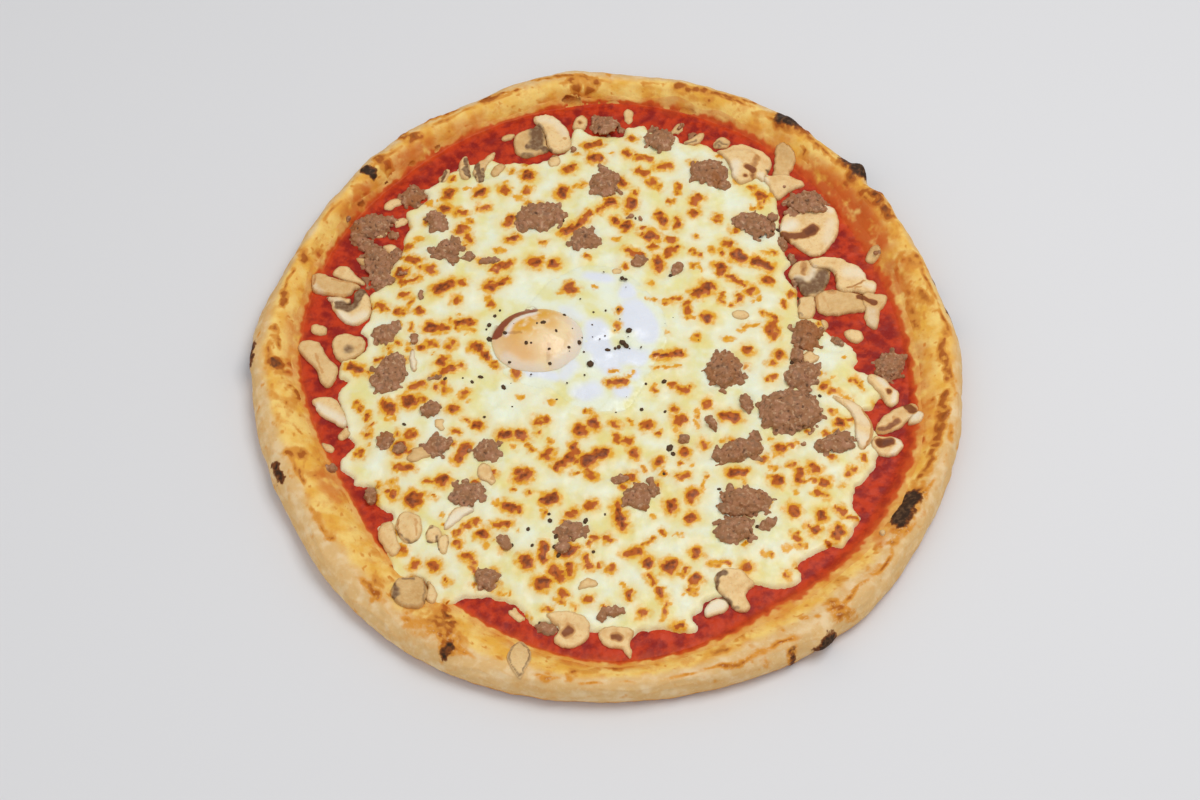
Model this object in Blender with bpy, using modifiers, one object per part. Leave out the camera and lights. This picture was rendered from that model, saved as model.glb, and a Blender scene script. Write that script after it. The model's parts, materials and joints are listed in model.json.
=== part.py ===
"""A whole round pizza with a fried egg, crumbled mince and sliced mushrooms, on the bare dough.

Metres, +Z up. The origin is at the middle of the flat underside, and -Y is the side nearest the eater.
Angles run counter-clockwise from +X. Every piece that lies on another is trimmed to it with a small gap.
"""

import math
import random

import bmesh
import bpy
import numpy as np
from mathutils import Matrix, Vector, noise
from mathutils.bvhtree import BVHTree

MM = 0.001
GAP = 0.35 * MM
SEED = 7

# Dough. Each list goes evenly round the pizza from +X: outline and rim width in 15 degree steps.
OUTLINE_RADII = [r * MM for r in (
    146.5, 145, 145, 147.5, 151.5, 153, 153.5, 152.5, 148.5, 145.5, 143, 144,
    146.5, 144.5, 144.5, 147, 150, 150, 148.5, 148.5, 149.5, 149.5, 147, 146.5)]
RIM_WIDTHS = [w * MM for w in (
    23, 21.5, 20, 18.5, 17, 15.5, 15, 16.5, 15.5, 15, 13, 15.5,
    20, 22.5, 26, 25.5, 27.5, 22.5, 16, 18, 24, 24, 22, 21)]
RIM_HEIGHTS = [h * MM for h in (14.5, 15, 14.5, 14, 13.5, 14, 14.5, 14, 13.5, 13, 14, 14.5)]
RIM_CRESTS = (0.3, 0.4, 0.6, 0.5, 0.5, 0.4, 0.28, 0.3)
SECTION_CREST = 0.43
CRUST_STEPS = 90
FLOOR_THICKNESS = 4.0 * MM
RIM_FOOT_INSET = 0.42
RIM_LUMP = 1.6 * MM
RIM_LUMP_LENGTH = 24 * MM
# Section of the rim, from the floor to the underside: share of the rim's width in from the outline, share of its height.
RIM_SECTION = (
    (1.12, 0.0), (1.00, 0.13), (0.87, 0.36), (0.73, 0.62), (0.58, 0.84), (0.43, 0.98), (0.29, 0.99),
    (0.16, 0.84), (0.06, 0.57), (0.0, 0.22), (0.03, -0.08), (0.13, -0.28),
)
FLOOR_RINGS = (0.35, 0.7)

# Blisters of the rim: angle in degrees, shares of the width in from the outline and of the height, size and rise.
BLISTERS = (
    (43.5, 0.04, 0.6, 6.5 * MM, 5.0 * MM),
    (59, 0.35, 0.9, 6 * MM, 1.8 * MM),
    (36.5, 0.3, 0.9, 9 * MM, 2.0 * MM),
    (22, 0.45, 0.9, 10 * MM, 1.6 * MM),
    (332, 0.5, 0.9, 8 * MM, 1.5 * MM),
    (305, 0.0, 0.3, 7 * MM, 3.6 * MM),
    (246, 0.45, 0.9, 11 * MM, 2.4 * MM),
    (182, 0.15, 0.7, 9 * MM, 2.2 * MM),
    (137, 0.4, 0.9, 8 * MM, 1.6 * MM),
    (98, 0.3, 0.9, 10 * MM, 1.5 * MM),
)

# Tomato sauce
SAUCE_TOP = 6.0 * MM
SAUCE_STEPS = 64
SAUCE_RIPPLE = 0.35 * MM

# Melted cheese: reach from the middle, in 10 degree steps from +X
CHEESE_RADII = [r * MM for r in (
    109, 97, 92, 92, 100, 115, 123, 122, 125, 126, 113, 108, 111, 115, 109, 104, 100, 99,
    100, 107, 111, 113, 114, 122, 123, 115, 119, 121, 121, 119, 117, 120, 124, 117, 116, 111)]
CHEESE_STEPS = 92
CHEESE_RINGS = (0.14, 0.27, 0.38, 0.48, 0.57, 0.65, 0.73, 0.8, 0.86, 0.915, 0.955, 0.985)
CHEESE_THICKNESS = 2.9 * MM
CHEESE_LOBE = 1.6 * MM
CHEESE_LOBES_ROUND = 30
CHEESE_RELIEF = 0.9 * MM
CHEESE_RELIEF_LENGTH = 15 * MM
CHEESE_EDGE = 0.3

# Egg: white as a thin spread patch, yolk as a flattened dome with its film
WHITE_MIDDLE = (-9 * MM, 9 * MM)
WHITE_RADII = [r * MM for r in (33, 36, 39, 40, 34, 31, 42, 36, 28, 32, 36, 30)]
WHITE_STEPS = 36
WHITE_THICKNESS = 0.9 * MM
WHITE_FACES = 700
YOLK_MIDDLE = (-29 * MM, 9 * MM)
YOLK_LENGTH, YOLK_WIDTH, YOLK_RISE = 38 * MM, 31 * MM, 7.5 * MM

# Mince crumbs baked into the cheese: x, y and length in millimetres, clear of the pieces above it
CRUMBS = (
    (-71, -27, 8), (-88, -41, 8), (-36, -84, 7), (-52, 48, 7), (27, 48, 7),
    (56, -14, 6), (37, -27, 7), (12, 51, 6), (67, -84, 6), (68, 84, 7),
)
CRUMB_RISE = 1.6 * MM

# Pepper grains on the egg: x, y and length in millimetres
GRAINS = ((5, 31, 2.4), (8, 14, 2.4), (5, 7, 2.6), (-4, -4, 2.4), (9, -12, 2.2), (-6, 34, 2.2))
YOLK_GRAINS = ((-22, 10, 2.0), (-34, 4, 2.0), (-27, 16, 2.0))

# Mince clumps in millimetres: x, y, length, width, rise and turn in degrees
MINCE = {
    "mince_north": (-4, 125, 14, 13, 5, 70),
    "mince_north_east": (20, 116, 14, 13, 5, 60),
    "mince_on_slice": (84, 86, 22, 13, 5.5, -10),
    "mince_two_oclock": (61, 72, 18, 12, 6, -15),
    "mince_one_oclock": (41, 99, 19, 14, 6, 5),
    "mince_upper": (-4, 91, 16, 13, 5.5, 80),
    "mince_upper_left": (-31, 72, 23, 15, 6.5, 15),
    "mince_above_egg": (-12, 62, 13, 10, 5, 40),
    "mince_ten_oclock_outer": (-103, 66, 20, 13, 6.5, 10),
    "mince_ten_oclock_inner": (-98, 46, 27, 13, 6, -68),
    "mince_ten_thirty": (-86, 83, 13, 10, 5, 45),
    "mince_left_upper": (-75, 68, 12, 9, 5, -60),
    "mince_left_middle": (-69, 53, 13, 11, 5.5, 20),
    "mince_nine_oclock": (-92, 11, 13, 8, 4, 10),
    "mince_left_lower": (-89, -10, 20, 14, 6, 60),
    "mince_eight_inner": (-67, -43, 12, 9, 4.5, 10),
    "mince_lower_left": (-47, -44, 12, 10, 5, 30),
    "mince_seven_oclock": (-54, -64, 15, 11, 5, 20),
    "mince_seven_outer": (-44, -101, 10, 9, 4.5, 0),
    "mince_south": (-12, -79, 14, 9, 4.5, 0),
    "mince_below_egg": (14, -62, 14, 10, 4, 20),
    "mince_five_upper": (57, -63, 23, 13, 6.5, 0),
    "mince_five_lower": (52, -76, 18, 13, 6.5, 30),
    "mince_four_oclock": (54, -40, 22, 11, 6, 25),
    "mince_three_large": (75, -21, 28, 22, 8.5, 5),
    "mince_three_upper": (80, -3, 16, 12, 6.5, 30),
    "mince_three_roasted": (82, 16, 16, 13, 6, 80),
    "mince_right_of_egg": (48, -2, 19, 17, 7.5, 70),
    "mince_on_sauce": (117, 5, 15, 13, 6, 70),
    "mince_four_outer": (93, -35, 17, 9, 4.5, 10),
}
MINCE_SEGMENTS, MINCE_RINGS = 12, 7
TOPPING_FACES = 100
MINCE_LUMP = 0.2
MINCE_LUMP_LENGTH = 4.5 * MM
MINCE_SINK = 0.3

# Mushroom slices in millimetres: x, y, length, width, turn in degrees and form
MUSHROOMS = {
    "mushroom_north_cap": (-29, 118, 27, 17, -75, "half"),
    "mushroom_north_stem": (-42, 112, 14, 12, 60, "oval"),
    "mushroom_gill_strip_a": (-65, 97, 17, 6, 70, "leaf"),
    "mushroom_gill_strip_b": (-57, 99, 19, 7, 65, "leaf"),
    "mushroom_one_thirty": (57, 109, 24, 15, -12, "oval"),
    "mushroom_stem_strip": (74, 108, 16, 8, 80, "strip"),
    "mushroom_round_slice": (85, 72, 28, 25, 60, "oval"),
    "mushroom_large_cap": (99, 47, 30, 21, -40, "cap"),
    "mushroom_large_gills": (84, 46, 17, 12, 20, "oval"),
    "mushroom_large_stem": (98, 34, 20, 11, 5, "strip"),
    "mushroom_petal_east": (118, -21, 21, 8, 32, "leaf"),
    "mushroom_ring_east": (114, -34, 13, 10, 10, "oval"),
    "mushroom_lobe_east": (114, -8, 12, 9, -25, "oval"),
    "mushroom_crescent_east": (102, -22, 25, 12, -76, "half"),
    "mushroom_left_slab": (-113, 36, 24, 10, -8, "strip"),
    "mushroom_left_half": (-107, 22, 19, 14, 190, "half"),
    "mushroom_left_stem": (-118, -4, 24, 10, -62, "strip"),
    "mushroom_left_curl": (-107, 5, 14, 11, 20, "oval"),
    "mushroom_left_leaf": (-112, -27, 18, 7, -38, "leaf"),
    "mushroom_seven_thirty": (-76, -80, 15, 13, 40, "oval"),
    "mushroom_roasted_lump": (-73, -108, 15, 13, 20, "oval"),
    "mushroom_rim_leaf": (-29.5, -136.5, 20, 11, 95, "leaf"),
    "mushroom_south_left": (-11, -122, 14, 10, 15, "oval"),
    "mushroom_south_right": (7, -122, 15, 9, -5, "oval"),
    "mushroom_five_fold": (51, -103, 17, 14, 60, "cap"),
}
SLICE_POINTS = 16
SLICE_RISE = 2.2 * MM
SLICE_SINK = 0.7 * MM
SLICE_SHOULDER = 0.78
SLICE_WAVE = 0.6 * MM

COLOURS = {
    "crust": ((0.78, 0.52, 0.22), 0.7),
    "sauce": ((0.55, 0.04, 0.01), 0.35),
    "cheese": ((0.90, 0.82, 0.50), 0.4),
    "egg_white": ((0.88, 0.88, 0.86), 0.35),
    "yolk": ((0.90, 0.62, 0.30), 0.3),
    "mince": ((0.30, 0.18, 0.12), 0.75),
    "mushroom": ((0.78, 0.62, 0.42), 0.6),
}

PIECES = "pizza"
CUTTERS = "pizza_cutters"


def clear_scene():
    for obj in list(bpy.data.objects):
        bpy.data.objects.remove(obj)
    for name in (PIECES, CUTTERS):
        bpy.context.scene.collection.children.link(bpy.data.collections.new(name))
    bpy.data.collections[CUTTERS].hide_render = True


def finish_of(kind):
    """The Principled material of one kind of food."""
    found = bpy.data.materials.get(kind)
    if found:
        return found
    colour, roughness = COLOURS[kind]
    made = bpy.data.materials.new(kind)
    made.use_nodes = True
    shader = made.node_tree.nodes["Principled BSDF"]
    shader.inputs["Base Color"].default_value = (*colour, 1)
    shader.inputs["Roughness"].default_value = roughness
    shader.inputs["Metallic"].default_value = 0.0
    return made


def add_object(name, mesh, kind=None, collection=PIECES):
    obj = bpy.data.objects.new(name, mesh)
    bpy.data.collections[collection].objects.link(obj)
    if kind:
        mesh.materials.clear()
        mesh.materials.append(finish_of(kind))
    else:
        obj.hide_render = True
        obj.display_type = "WIRE"
    return obj


def around(values, angle):
    """Value at an angle of a list that goes evenly round a circle, on a smooth closed curve through it."""
    place = (angle / (2 * math.pi)) % 1.0 * len(values)
    index = int(place)
    t = place - index
    a, b, c, d = (values[(index + k) % len(values)] for k in (-1, 0, 1, 2))
    return b + 0.5 * t * (c - a + t * (2 * a - 5 * b + 4 * c - d + t * (3 * (b - c) + d - a)))


def smooth_step(low, high, value):
    t = min(1.0, max(0.0, (value - low) / (high - low)))
    return t * t * (3 - 2 * t)


def wave(x, y, length, layer):
    """Smooth noise from -1 to 1 over the plan, with waves of about that length."""
    return noise.noise(Vector((x / length, y / length, layer)))


def rim_point(angle, inset_share, height_share):
    """A point of the rim's section, whose crest lies further in or out round the pizza.

    Negative height shares are below the floor's surface.
    """
    crest = around(RIM_CRESTS, angle)
    if inset_share < SECTION_CREST:
        inset_share *= crest / SECTION_CREST
    elif inset_share < 1:
        inset_share = 1 - (1 - inset_share) * (1 - crest) / (1 - SECTION_CREST)
    radius, width = around(OUTLINE_RADII, angle), around(RIM_WIDTHS, angle)
    rise = around(RIM_HEIGHTS, angle) - FLOOR_THICKNESS
    height = FLOOR_THICKNESS + height_share * (rise if height_share > 0 else FLOOR_THICKNESS / 0.3)
    reach = radius - inset_share * width
    return Vector((reach * math.cos(angle), reach * math.sin(angle), max(0.0, height)))


def rim_lift(angle, inset_share, height_share, point):
    """Lumps and blisters of the baked rim, which fade out above the sauce and at the foot."""
    free = smooth_step(0.95, 0.6, inset_share) * smooth_step(-0.3, 0.2, height_share)
    lumps = RIM_LUMP * noise.noise(point / RIM_LUMP_LENGTH)
    rise = 0.0
    for degrees, inset, share, size, height in BLISTERS:
        middle = rim_point(math.radians(degrees), inset, share)
        rise += height * math.exp(-((point - middle).length / size) ** 2 * 2)
    return free * (lumps + rise)


def turned_mesh(name, profile, steps):
    """A mesh turned about Z from (radius, height) points that start at the top of the axis and end at its foot."""
    guide = bpy.data.meshes.new(name + "_section")
    guide.from_pydata([(r, 0, z) for r, z in profile], [(i, i + 1) for i in range(len(profile) - 1)], [])
    obj = add_object(name + "_section", guide, collection=CUTTERS)
    screw = obj.modifiers.new("turn", "SCREW")
    screw.steps = screw.render_steps = steps
    screw.use_merge_vertices = True
    screw.merge_threshold = 0.00001
    mesh = evaluated_mesh(obj)
    bpy.data.objects.remove(obj)
    return mesh


def move_points(mesh, rule):
    for vertex in mesh.vertices:
        vertex.co = rule(vertex.co.copy())


def make_crust():
    """Dough base with its raised rim: a turned section, bent to the real outline and baked into lumps."""
    rings = len(RIM_SECTION)
    profile = [(0, 1)] + [(share, 1) for share in FLOOR_RINGS]
    profile += [(1 + k, 0.5) for k in range(rings)]
    profile += [(rings + 1, 0), (0, 0)]
    mesh = turned_mesh("crust", profile, CRUST_STEPS)

    def place(point):
        angle = math.atan2(point.y, point.x)
        key = math.hypot(point.x, point.y)
        if key < 0.99:
            inner = rim_point(angle, *RIM_SECTION[0])
            height = FLOOR_THICKNESS if point.z > 0.5 else 0.0
            return Vector((inner.x * key, inner.y * key, height))
        if key > rings + 0.5:
            foot = rim_point(angle, RIM_FOOT_INSET, 0)
            return Vector((foot.x, foot.y, 0))
        inset, height = RIM_SECTION[min(rings - 1, round(key - 1))]
        spot = rim_point(angle, inset, height)
        lean = Vector((math.cos(angle), math.sin(angle), 0)) * (0.45 - inset) * 2 + Vector((0, 0, 1))
        return spot + lean.normalized() * rim_lift(angle, inset, height, spot)

    move_points(mesh, place)
    return add_object("crust", mesh, "crust")


def cheese_reach(angle):
    lobes = noise.noise(Vector((math.cos(angle), math.sin(angle), 0.4)) * CHEESE_LOBES_ROUND / 6.3)
    return around(CHEESE_RADII, angle) + CHEESE_LOBE * 2 * lobes


def make_sauce():
    """Tomato sauce, spread over the floor up to the rim, with ripples where it shows."""
    shares = (0.4, 0.8, 0.86, 0.91, 0.96)
    profile = [(0, 1)] + [(share, 1) for share in shares] + [(1.0, 1), (1.0, 0), (0, 0)]
    mesh = turned_mesh("sauce", profile, SAUCE_STEPS)

    def place(point):
        angle = math.atan2(point.y, point.x)
        share, top = math.hypot(point.x, point.y), point.z > 0.5
        low, high = rim_point(angle, *RIM_SECTION[0]), rim_point(angle, *RIM_SECTION[1])
        edge = (high if top else low).xy.length - 2 * GAP
        x, y = share * edge * math.cos(angle), share * edge * math.sin(angle)
        if not top:
            return Vector((x, y, FLOOR_THICKNESS + GAP))
        shows = smooth_step(0.0, 3 * MM, math.hypot(x, y) - cheese_reach(angle) - 2 * MM)
        edge_drop = 0.5 * MM * smooth_step(0.95, 1.0, share)
        return Vector((x, y, SAUCE_TOP - edge_drop + SAUCE_RIPPLE * shows * wave(x, y, 7 * MM, 3.0)))

    move_points(mesh, place)
    return add_object("sauce", mesh, "sauce")


def make_cheese():
    """Melted cheese: one sheet with a lobed, rounded edge and a lumpy top."""
    profile = [(0, 1)] + [(share, 1) for share in CHEESE_RINGS] + [(1.0, 0.5), (1.0, 0), (0, 0)]
    mesh = turned_mesh("cheese", profile, CHEESE_STEPS)

    def place(point):
        angle = math.atan2(point.y, point.x)
        share = math.hypot(point.x, point.y)
        reach = cheese_reach(angle) * share
        x, y = reach * math.cos(angle), reach * math.sin(angle)
        base = SAUCE_TOP + GAP
        if point.z < 0.25:
            return Vector((x, y, base))
        if point.z < 0.75:
            return Vector((x, y, base + CHEESE_THICKNESS * CHEESE_EDGE))
        from_edge = (1 - share) * cheese_reach(angle)
        rounding = smooth_step(-2 * MM, 6 * MM, from_edge)
        relief = CHEESE_RELIEF * wave(x, y, CHEESE_RELIEF_LENGTH, 5.0) * rounding
        return Vector((x, y, base + CHEESE_THICKNESS * (0.45 + 0.55 * rounding) + relief))

    move_points(mesh, place)
    return add_object("cheese", mesh, "cheese")


def clearance_copy(obj, floor=None):
    """A cutter a gap larger than a piece. A carrier's reaches down to a flat floor."""
    mesh = obj.data.copy()
    normals = [v.normal.copy() for v in mesh.vertices]
    base = min(v.co.z for v in mesh.vertices)
    for vertex, normal in zip(mesh.vertices, normals):
        at_base = vertex.co.z < base + 0.01 * MM
        vertex.co += normal * GAP
        if at_base and floor is not None:
            vertex.co.z = floor
    return add_object(obj.name + "_clearance", mesh, collection=CUTTERS)


class Bed:
    """What has been laid down so far, which gives the height under a topping and trims it."""

    def __init__(self):
        self.trees = []
        self.cutters = []

    def add(self, obj, floor=None):
        self.trees.append(BVHTree.FromPolygons([v.co for v in obj.data.vertices],
                                               [list(p.vertices) for p in obj.data.polygons]))
        self.cutters.append(clearance_copy(obj, floor))

    def height(self, x, y):
        hits = (tree.ray_cast(Vector((x, y, 0.1)), Vector((0, 0, -1)))[0] for tree in self.trees)
        return max((hit.z for hit in hits if hit), default=0.0)

    def trim(self, mesh, name, kind, faces=TOPPING_FACES):
        """The topping less everything it touches, as one closed body with about that many faces."""
        obj = add_object(name, mesh, kind)
        low, high = box_of(mesh)
        for cutter in self.cutters:
            other_low, other_high = box_of(cutter.data)
            if all(low[k] < other_high[k] and other_low[k] < high[k] for k in range(3)):
                cut_away(obj, cutter)
        if len(obj.data.polygons) > faces:
            thin = obj.modifiers.new("thin", "DECIMATE")
            for share in (1.0, 1.1, 1.25, 1.5):
                thin.ratio = min(1.0, share * faces / len(obj.data.polygons))
                made = evaluated_mesh(obj)
                if is_closed(made):
                    obj.data = made
                    break
            obj.modifiers.clear()
        return obj


def cut_away(obj, cutter):
    """One Boolean difference, by the first solver and the least lift of the cutter that leave a sound body."""
    before = volume_of(obj.data)
    for lift in (0.0, 0.03, 0.06, 0.09):
        cutter.location.z = lift * MM
        for solver in ("EXACT", "MANIFOLD"):
            cut = obj.modifiers.new("trim", "BOOLEAN")
            cut.operation, cut.object, cut.solver = "DIFFERENCE", cutter, solver
            made = evaluated_mesh(obj)
            obj.modifiers.clear()
            keep_largest(made)
            if is_closed(made) and volume_of(made) > 0.25 * before:
                obj.data = made
                cutter.location.z = 0.0
                return
    raise RuntimeError(obj.name + " can't be trimmed by " + cutter.name)


def volume_of(mesh):
    work = bmesh.new()
    work.from_mesh(mesh)
    volume = work.calc_volume()
    work.free()
    return volume


def evaluated_mesh(obj):
    return bpy.data.meshes.new_from_object(obj.evaluated_get(bpy.context.evaluated_depsgraph_get()))


def is_closed(mesh):
    """Whether every edge joins two faces and no two corners of the surface touch."""
    work = bmesh.new()
    work.from_mesh(mesh)
    closed = all(edge.is_manifold for edge in work.edges) and all(vertex.is_manifold for vertex in work.verts)
    spots = {tuple(round(c / (0.002 * MM)) for c in vertex.co) for vertex in work.verts}
    closed = closed and len(spots) == len(work.verts)
    work.free()
    return closed


def box_of(mesh):
    points = np.array([v.co for v in mesh.vertices])
    return points.min(0), points.max(0)


def keep_largest(mesh):
    """Drops loose scraps that a cut leaves, and welds what it splits."""
    work = bmesh.new()
    work.from_mesh(mesh)
    bmesh.ops.remove_doubles(work, verts=work.verts, dist=0.01 * MM)
    bmesh.ops.triangulate(work, faces=work.faces)
    bmesh.ops.dissolve_degenerate(work, dist=0.02 * MM, edges=work.edges)
    bmesh.ops.triangulate(work, faces=work.faces)
    left, islands = set(work.verts), []
    while left:
        found, queue = set(), [left.pop()]
        while queue:
            vertex = queue.pop()
            found.add(vertex)
            for edge in vertex.link_edges:
                other = edge.other_vert(vertex)
                if other in left:
                    left.discard(other)
                    queue.append(other)
        islands.append(found)
    islands.sort(key=len)
    for scrap in islands[:-1]:
        bmesh.ops.delete(work, geom=list(scrap), context="VERTS")
    work.to_mesh(mesh)
    work.free()


def fuse_bits(obj, bits, rise, height):
    """Joins small lumps to the top of a piece, half sunk, by one union."""
    group = bpy.data.collections.new(obj.name + "_bits")
    bpy.context.scene.collection.children.link(group)
    group.hide_render = True
    for number, (x, y, length) in enumerate(bits):
        mesh = lump_mesh(length * MM, length * MM * 0.75, rise, 7, 4)
        turned = Matrix.Rotation(number * 1.3, 4, "Z")
        mesh.transform(Matrix.Translation((x * MM, y * MM, height(x * MM, y * MM))) @ turned)
        bit = bpy.data.objects.new("bit", mesh)
        group.objects.link(bit)
    union = obj.modifiers.new("bits", "BOOLEAN")
    union.operation, union.operand_type, union.collection = "UNION", "COLLECTION", group
    obj.data = evaluated_mesh(obj)
    obj.modifiers.clear()
    keep_largest(obj.data)
    for bit in list(group.objects):
        bpy.data.objects.remove(bit)
    bpy.data.collections.remove(group)


def make_egg_white(bed):
    """Spread white of the egg, a thin patch that follows the cheese."""
    rings = (0.35, 0.65, 0.9)
    profile = [(0, 1)] + [(share, 1) for share in rings] + [(1.0, 0), (0.5, 0), (0, 0)]
    mesh = turned_mesh("egg_white", profile, WHITE_STEPS)

    def place(point):
        angle = math.atan2(point.y, point.x)
        reach = around(WHITE_RADII, angle) * math.hypot(point.x, point.y)
        x, y = WHITE_MIDDLE[0] + reach * math.cos(angle), WHITE_MIDDLE[1] + reach * math.sin(angle)
        lift = WHITE_THICKNESS + GAP if point.z > 0.5 else -0.7 * MM
        return Vector((x, y, bed.height(x, y) + lift))

    move_points(mesh, place)
    blank = add_object("egg_white_blank", mesh, collection=CUTTERS)
    fuse_bits(blank, GRAINS, 0.8 * MM, lambda x, y: bed.height(x, y) + WHITE_THICKNESS + GAP)
    mesh = blank.data
    bpy.data.objects.remove(blank)
    return bed.trim(mesh, "egg_white", "egg_white", WHITE_FACES)


def lump_mesh(length, width, rise, segments, rings):
    work = bmesh.new()
    bmesh.ops.create_uvsphere(work, u_segments=segments, v_segments=rings, radius=1.0)
    bmesh.ops.scale(work, vec=(length / 2, width / 2, rise), verts=work.verts)
    mesh = bpy.data.meshes.new("lump")
    work.to_mesh(mesh)
    work.free()
    return mesh


def make_yolk(bed):
    """Yolk under its film: a flattened dome that rests on the white."""
    mesh = lump_mesh(YOLK_LENGTH, YOLK_WIDTH, YOLK_RISE, 24, 12)
    base = bed.height(*YOLK_MIDDLE)
    mesh.transform(Matrix.Translation((*YOLK_MIDDLE, base)) @ Matrix.Rotation(math.radians(8), 4, "Z"))
    return bed.trim(mesh, "yolk", "yolk", 520)


def make_mince(bed, name, number):
    """One clump of crumbled meat, a knobbly lump sunk a little into what it lies on."""
    x, y, length, width, rise, turn = MINCE[name]
    mesh = lump_mesh(length * MM, width * MM, rise * MM, MINCE_SEGMENTS, MINCE_RINGS)
    turned = Matrix.Rotation(math.radians(turn), 3, "Z")

    def place(point):
        rough = 1 + MINCE_LUMP * noise.noise(point / MINCE_LUMP_LENGTH + Vector((number * 9.7, 0, 0)))
        spot = turned @ (point * rough)
        under = bed.height(x * MM + spot.x * 0.8, y * MM + spot.y * 0.8)
        return Vector((x * MM + spot.x, y * MM + spot.y, under + spot.z * (1 - MINCE_SINK)))

    move_points(mesh, place)
    return bed.trim(mesh, name, "mince")


def slice_outline(form, length, width):
    """Outline of a mushroom slice about its own middle, evenly spaced in angle."""
    power = {"oval": 2.0, "half": 2.2, "leaf": 1.35, "strip": 4.0, "cap": 2.3}[form]
    points = []
    for k in range(SLICE_POINTS):
        angle = 2 * math.pi * k / SLICE_POINTS
        c, s = math.cos(angle), math.sin(angle)
        u = math.copysign(abs(c) ** (2 / power), c) * length / 2
        v = math.copysign(abs(s) ** (2 / power), s) * width / 2
        if form == "half" and v < 0:
            v *= 0.35
        if form == "cap" and v < 0:
            stem = smooth_step(0.55, 0.25, abs(c))
            v *= 0.35 + 0.9 * stem
            u *= 1 - 0.3 * stem
        points.append(Vector((u, v)))
    return points


def make_mushroom(bed, name, number):
    """One mushroom slice, a thin plate with rounded shoulders, draped on what lies under it."""
    x, y, length, width, turn, form = MUSHROOMS[name]
    outline = slice_outline(form, length * MM, width * MM)
    turned = Matrix.Rotation(math.radians(turn), 2)
    draw = random.Random(SEED + number)
    tilt = draw.uniform(-0.05, 0.05), draw.uniform(-0.05, 0.05)

    def spot(flat, lift):
        at = turned @ flat
        under = bed.height(x * MM + at.x, y * MM + at.y)
        bend = SLICE_WAVE * wave(at.x, at.y, 9 * MM, number * 3.3) + at.x * tilt[0] + at.y * tilt[1]
        return Vector((x * MM + at.x, y * MM + at.y, under + lift + (bend if lift > 0 else 0)))

    work = bmesh.new()
    rings = ((SLICE_SHOULDER, SLICE_RISE), (1.0, SLICE_RISE * 0.45), (0.9, -SLICE_SINK))
    loops = [[work.verts.new(spot(p * share, lift)) for p in outline] for share, lift in rings]
    ends = work.verts.new(spot(Vector((0, 0)), SLICE_RISE)), work.verts.new(spot(Vector((0, 0)), -SLICE_SINK))
    count = len(outline)
    for k in range(count):
        after = (k + 1) % count
        for upper, lower in zip(loops, loops[1:]):
            work.faces.new((upper[k], lower[k], lower[after], upper[after]))
        work.faces.new((ends[0], loops[0][k], loops[0][after]))
        work.faces.new((ends[1], loops[-1][after], loops[-1][k]))
    bmesh.ops.triangulate(work, faces=work.faces)
    mesh = bpy.data.meshes.new(name)
    work.to_mesh(mesh)
    work.free()
    return bed.trim(mesh, name, "mushroom")


def main():
    clear_scene()
    bed = Bed()
    crust = make_crust()
    sauce = make_sauce()
    cheese = make_cheese()
    bed.add(crust, floor=0.0)
    bed.add(sauce, floor=1 * MM)
    bed.add(cheese, floor=2 * MM)
    white = make_egg_white(bed)
    bed.add(white)
    yolk = make_yolk(bed)
    bed.add(yolk)
    on_top = "mince_on_slice"
    for number, name in enumerate(MUSHROOMS):
        bed.add(make_mushroom(bed, name, number))
    for number, name in enumerate(MINCE):
        if name != on_top:
            bed.add(make_mince(bed, name, number))
    bed.add(make_mince(bed, on_top, len(MINCE)))
    fuse_bits(cheese, CRUMBS, CRUMB_RISE, bed.height)
    fuse_bits(yolk, YOLK_GRAINS, 0.7 * MM, bed.height)
    for cutter in bed.cutters:
        bpy.data.objects.remove(cutter)
    low, high = box_of(crust.data)
    middle = Matrix.Translation((-(low[0] + high[0]) / 2, -(low[1] + high[1]) / 2, 0))
    for obj in bpy.data.collections[PIECES].objects:
        obj.data.transform(middle)


main()
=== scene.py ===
"""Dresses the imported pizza: baked crust, tomato sauce, toasted cheese, egg, mince, mushrooms and pepper.

Tables are in millimetres and degrees, and the script works in metres with +Z up. Angles run counter-clockwise
from +X. Every place in the tables is measured from the point that PLACE moves to the part's origin.
"""

import json
import math
import random

import bmesh
import bpy
import numpy as np
from bpy.props import FloatProperty, FloatVectorProperty, IntProperty, PointerProperty
from bpy.types import Operator, Panel, PropertyGroup
from mathutils import Matrix, Vector, noise
from mathutils.bvhtree import BVHTree

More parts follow.
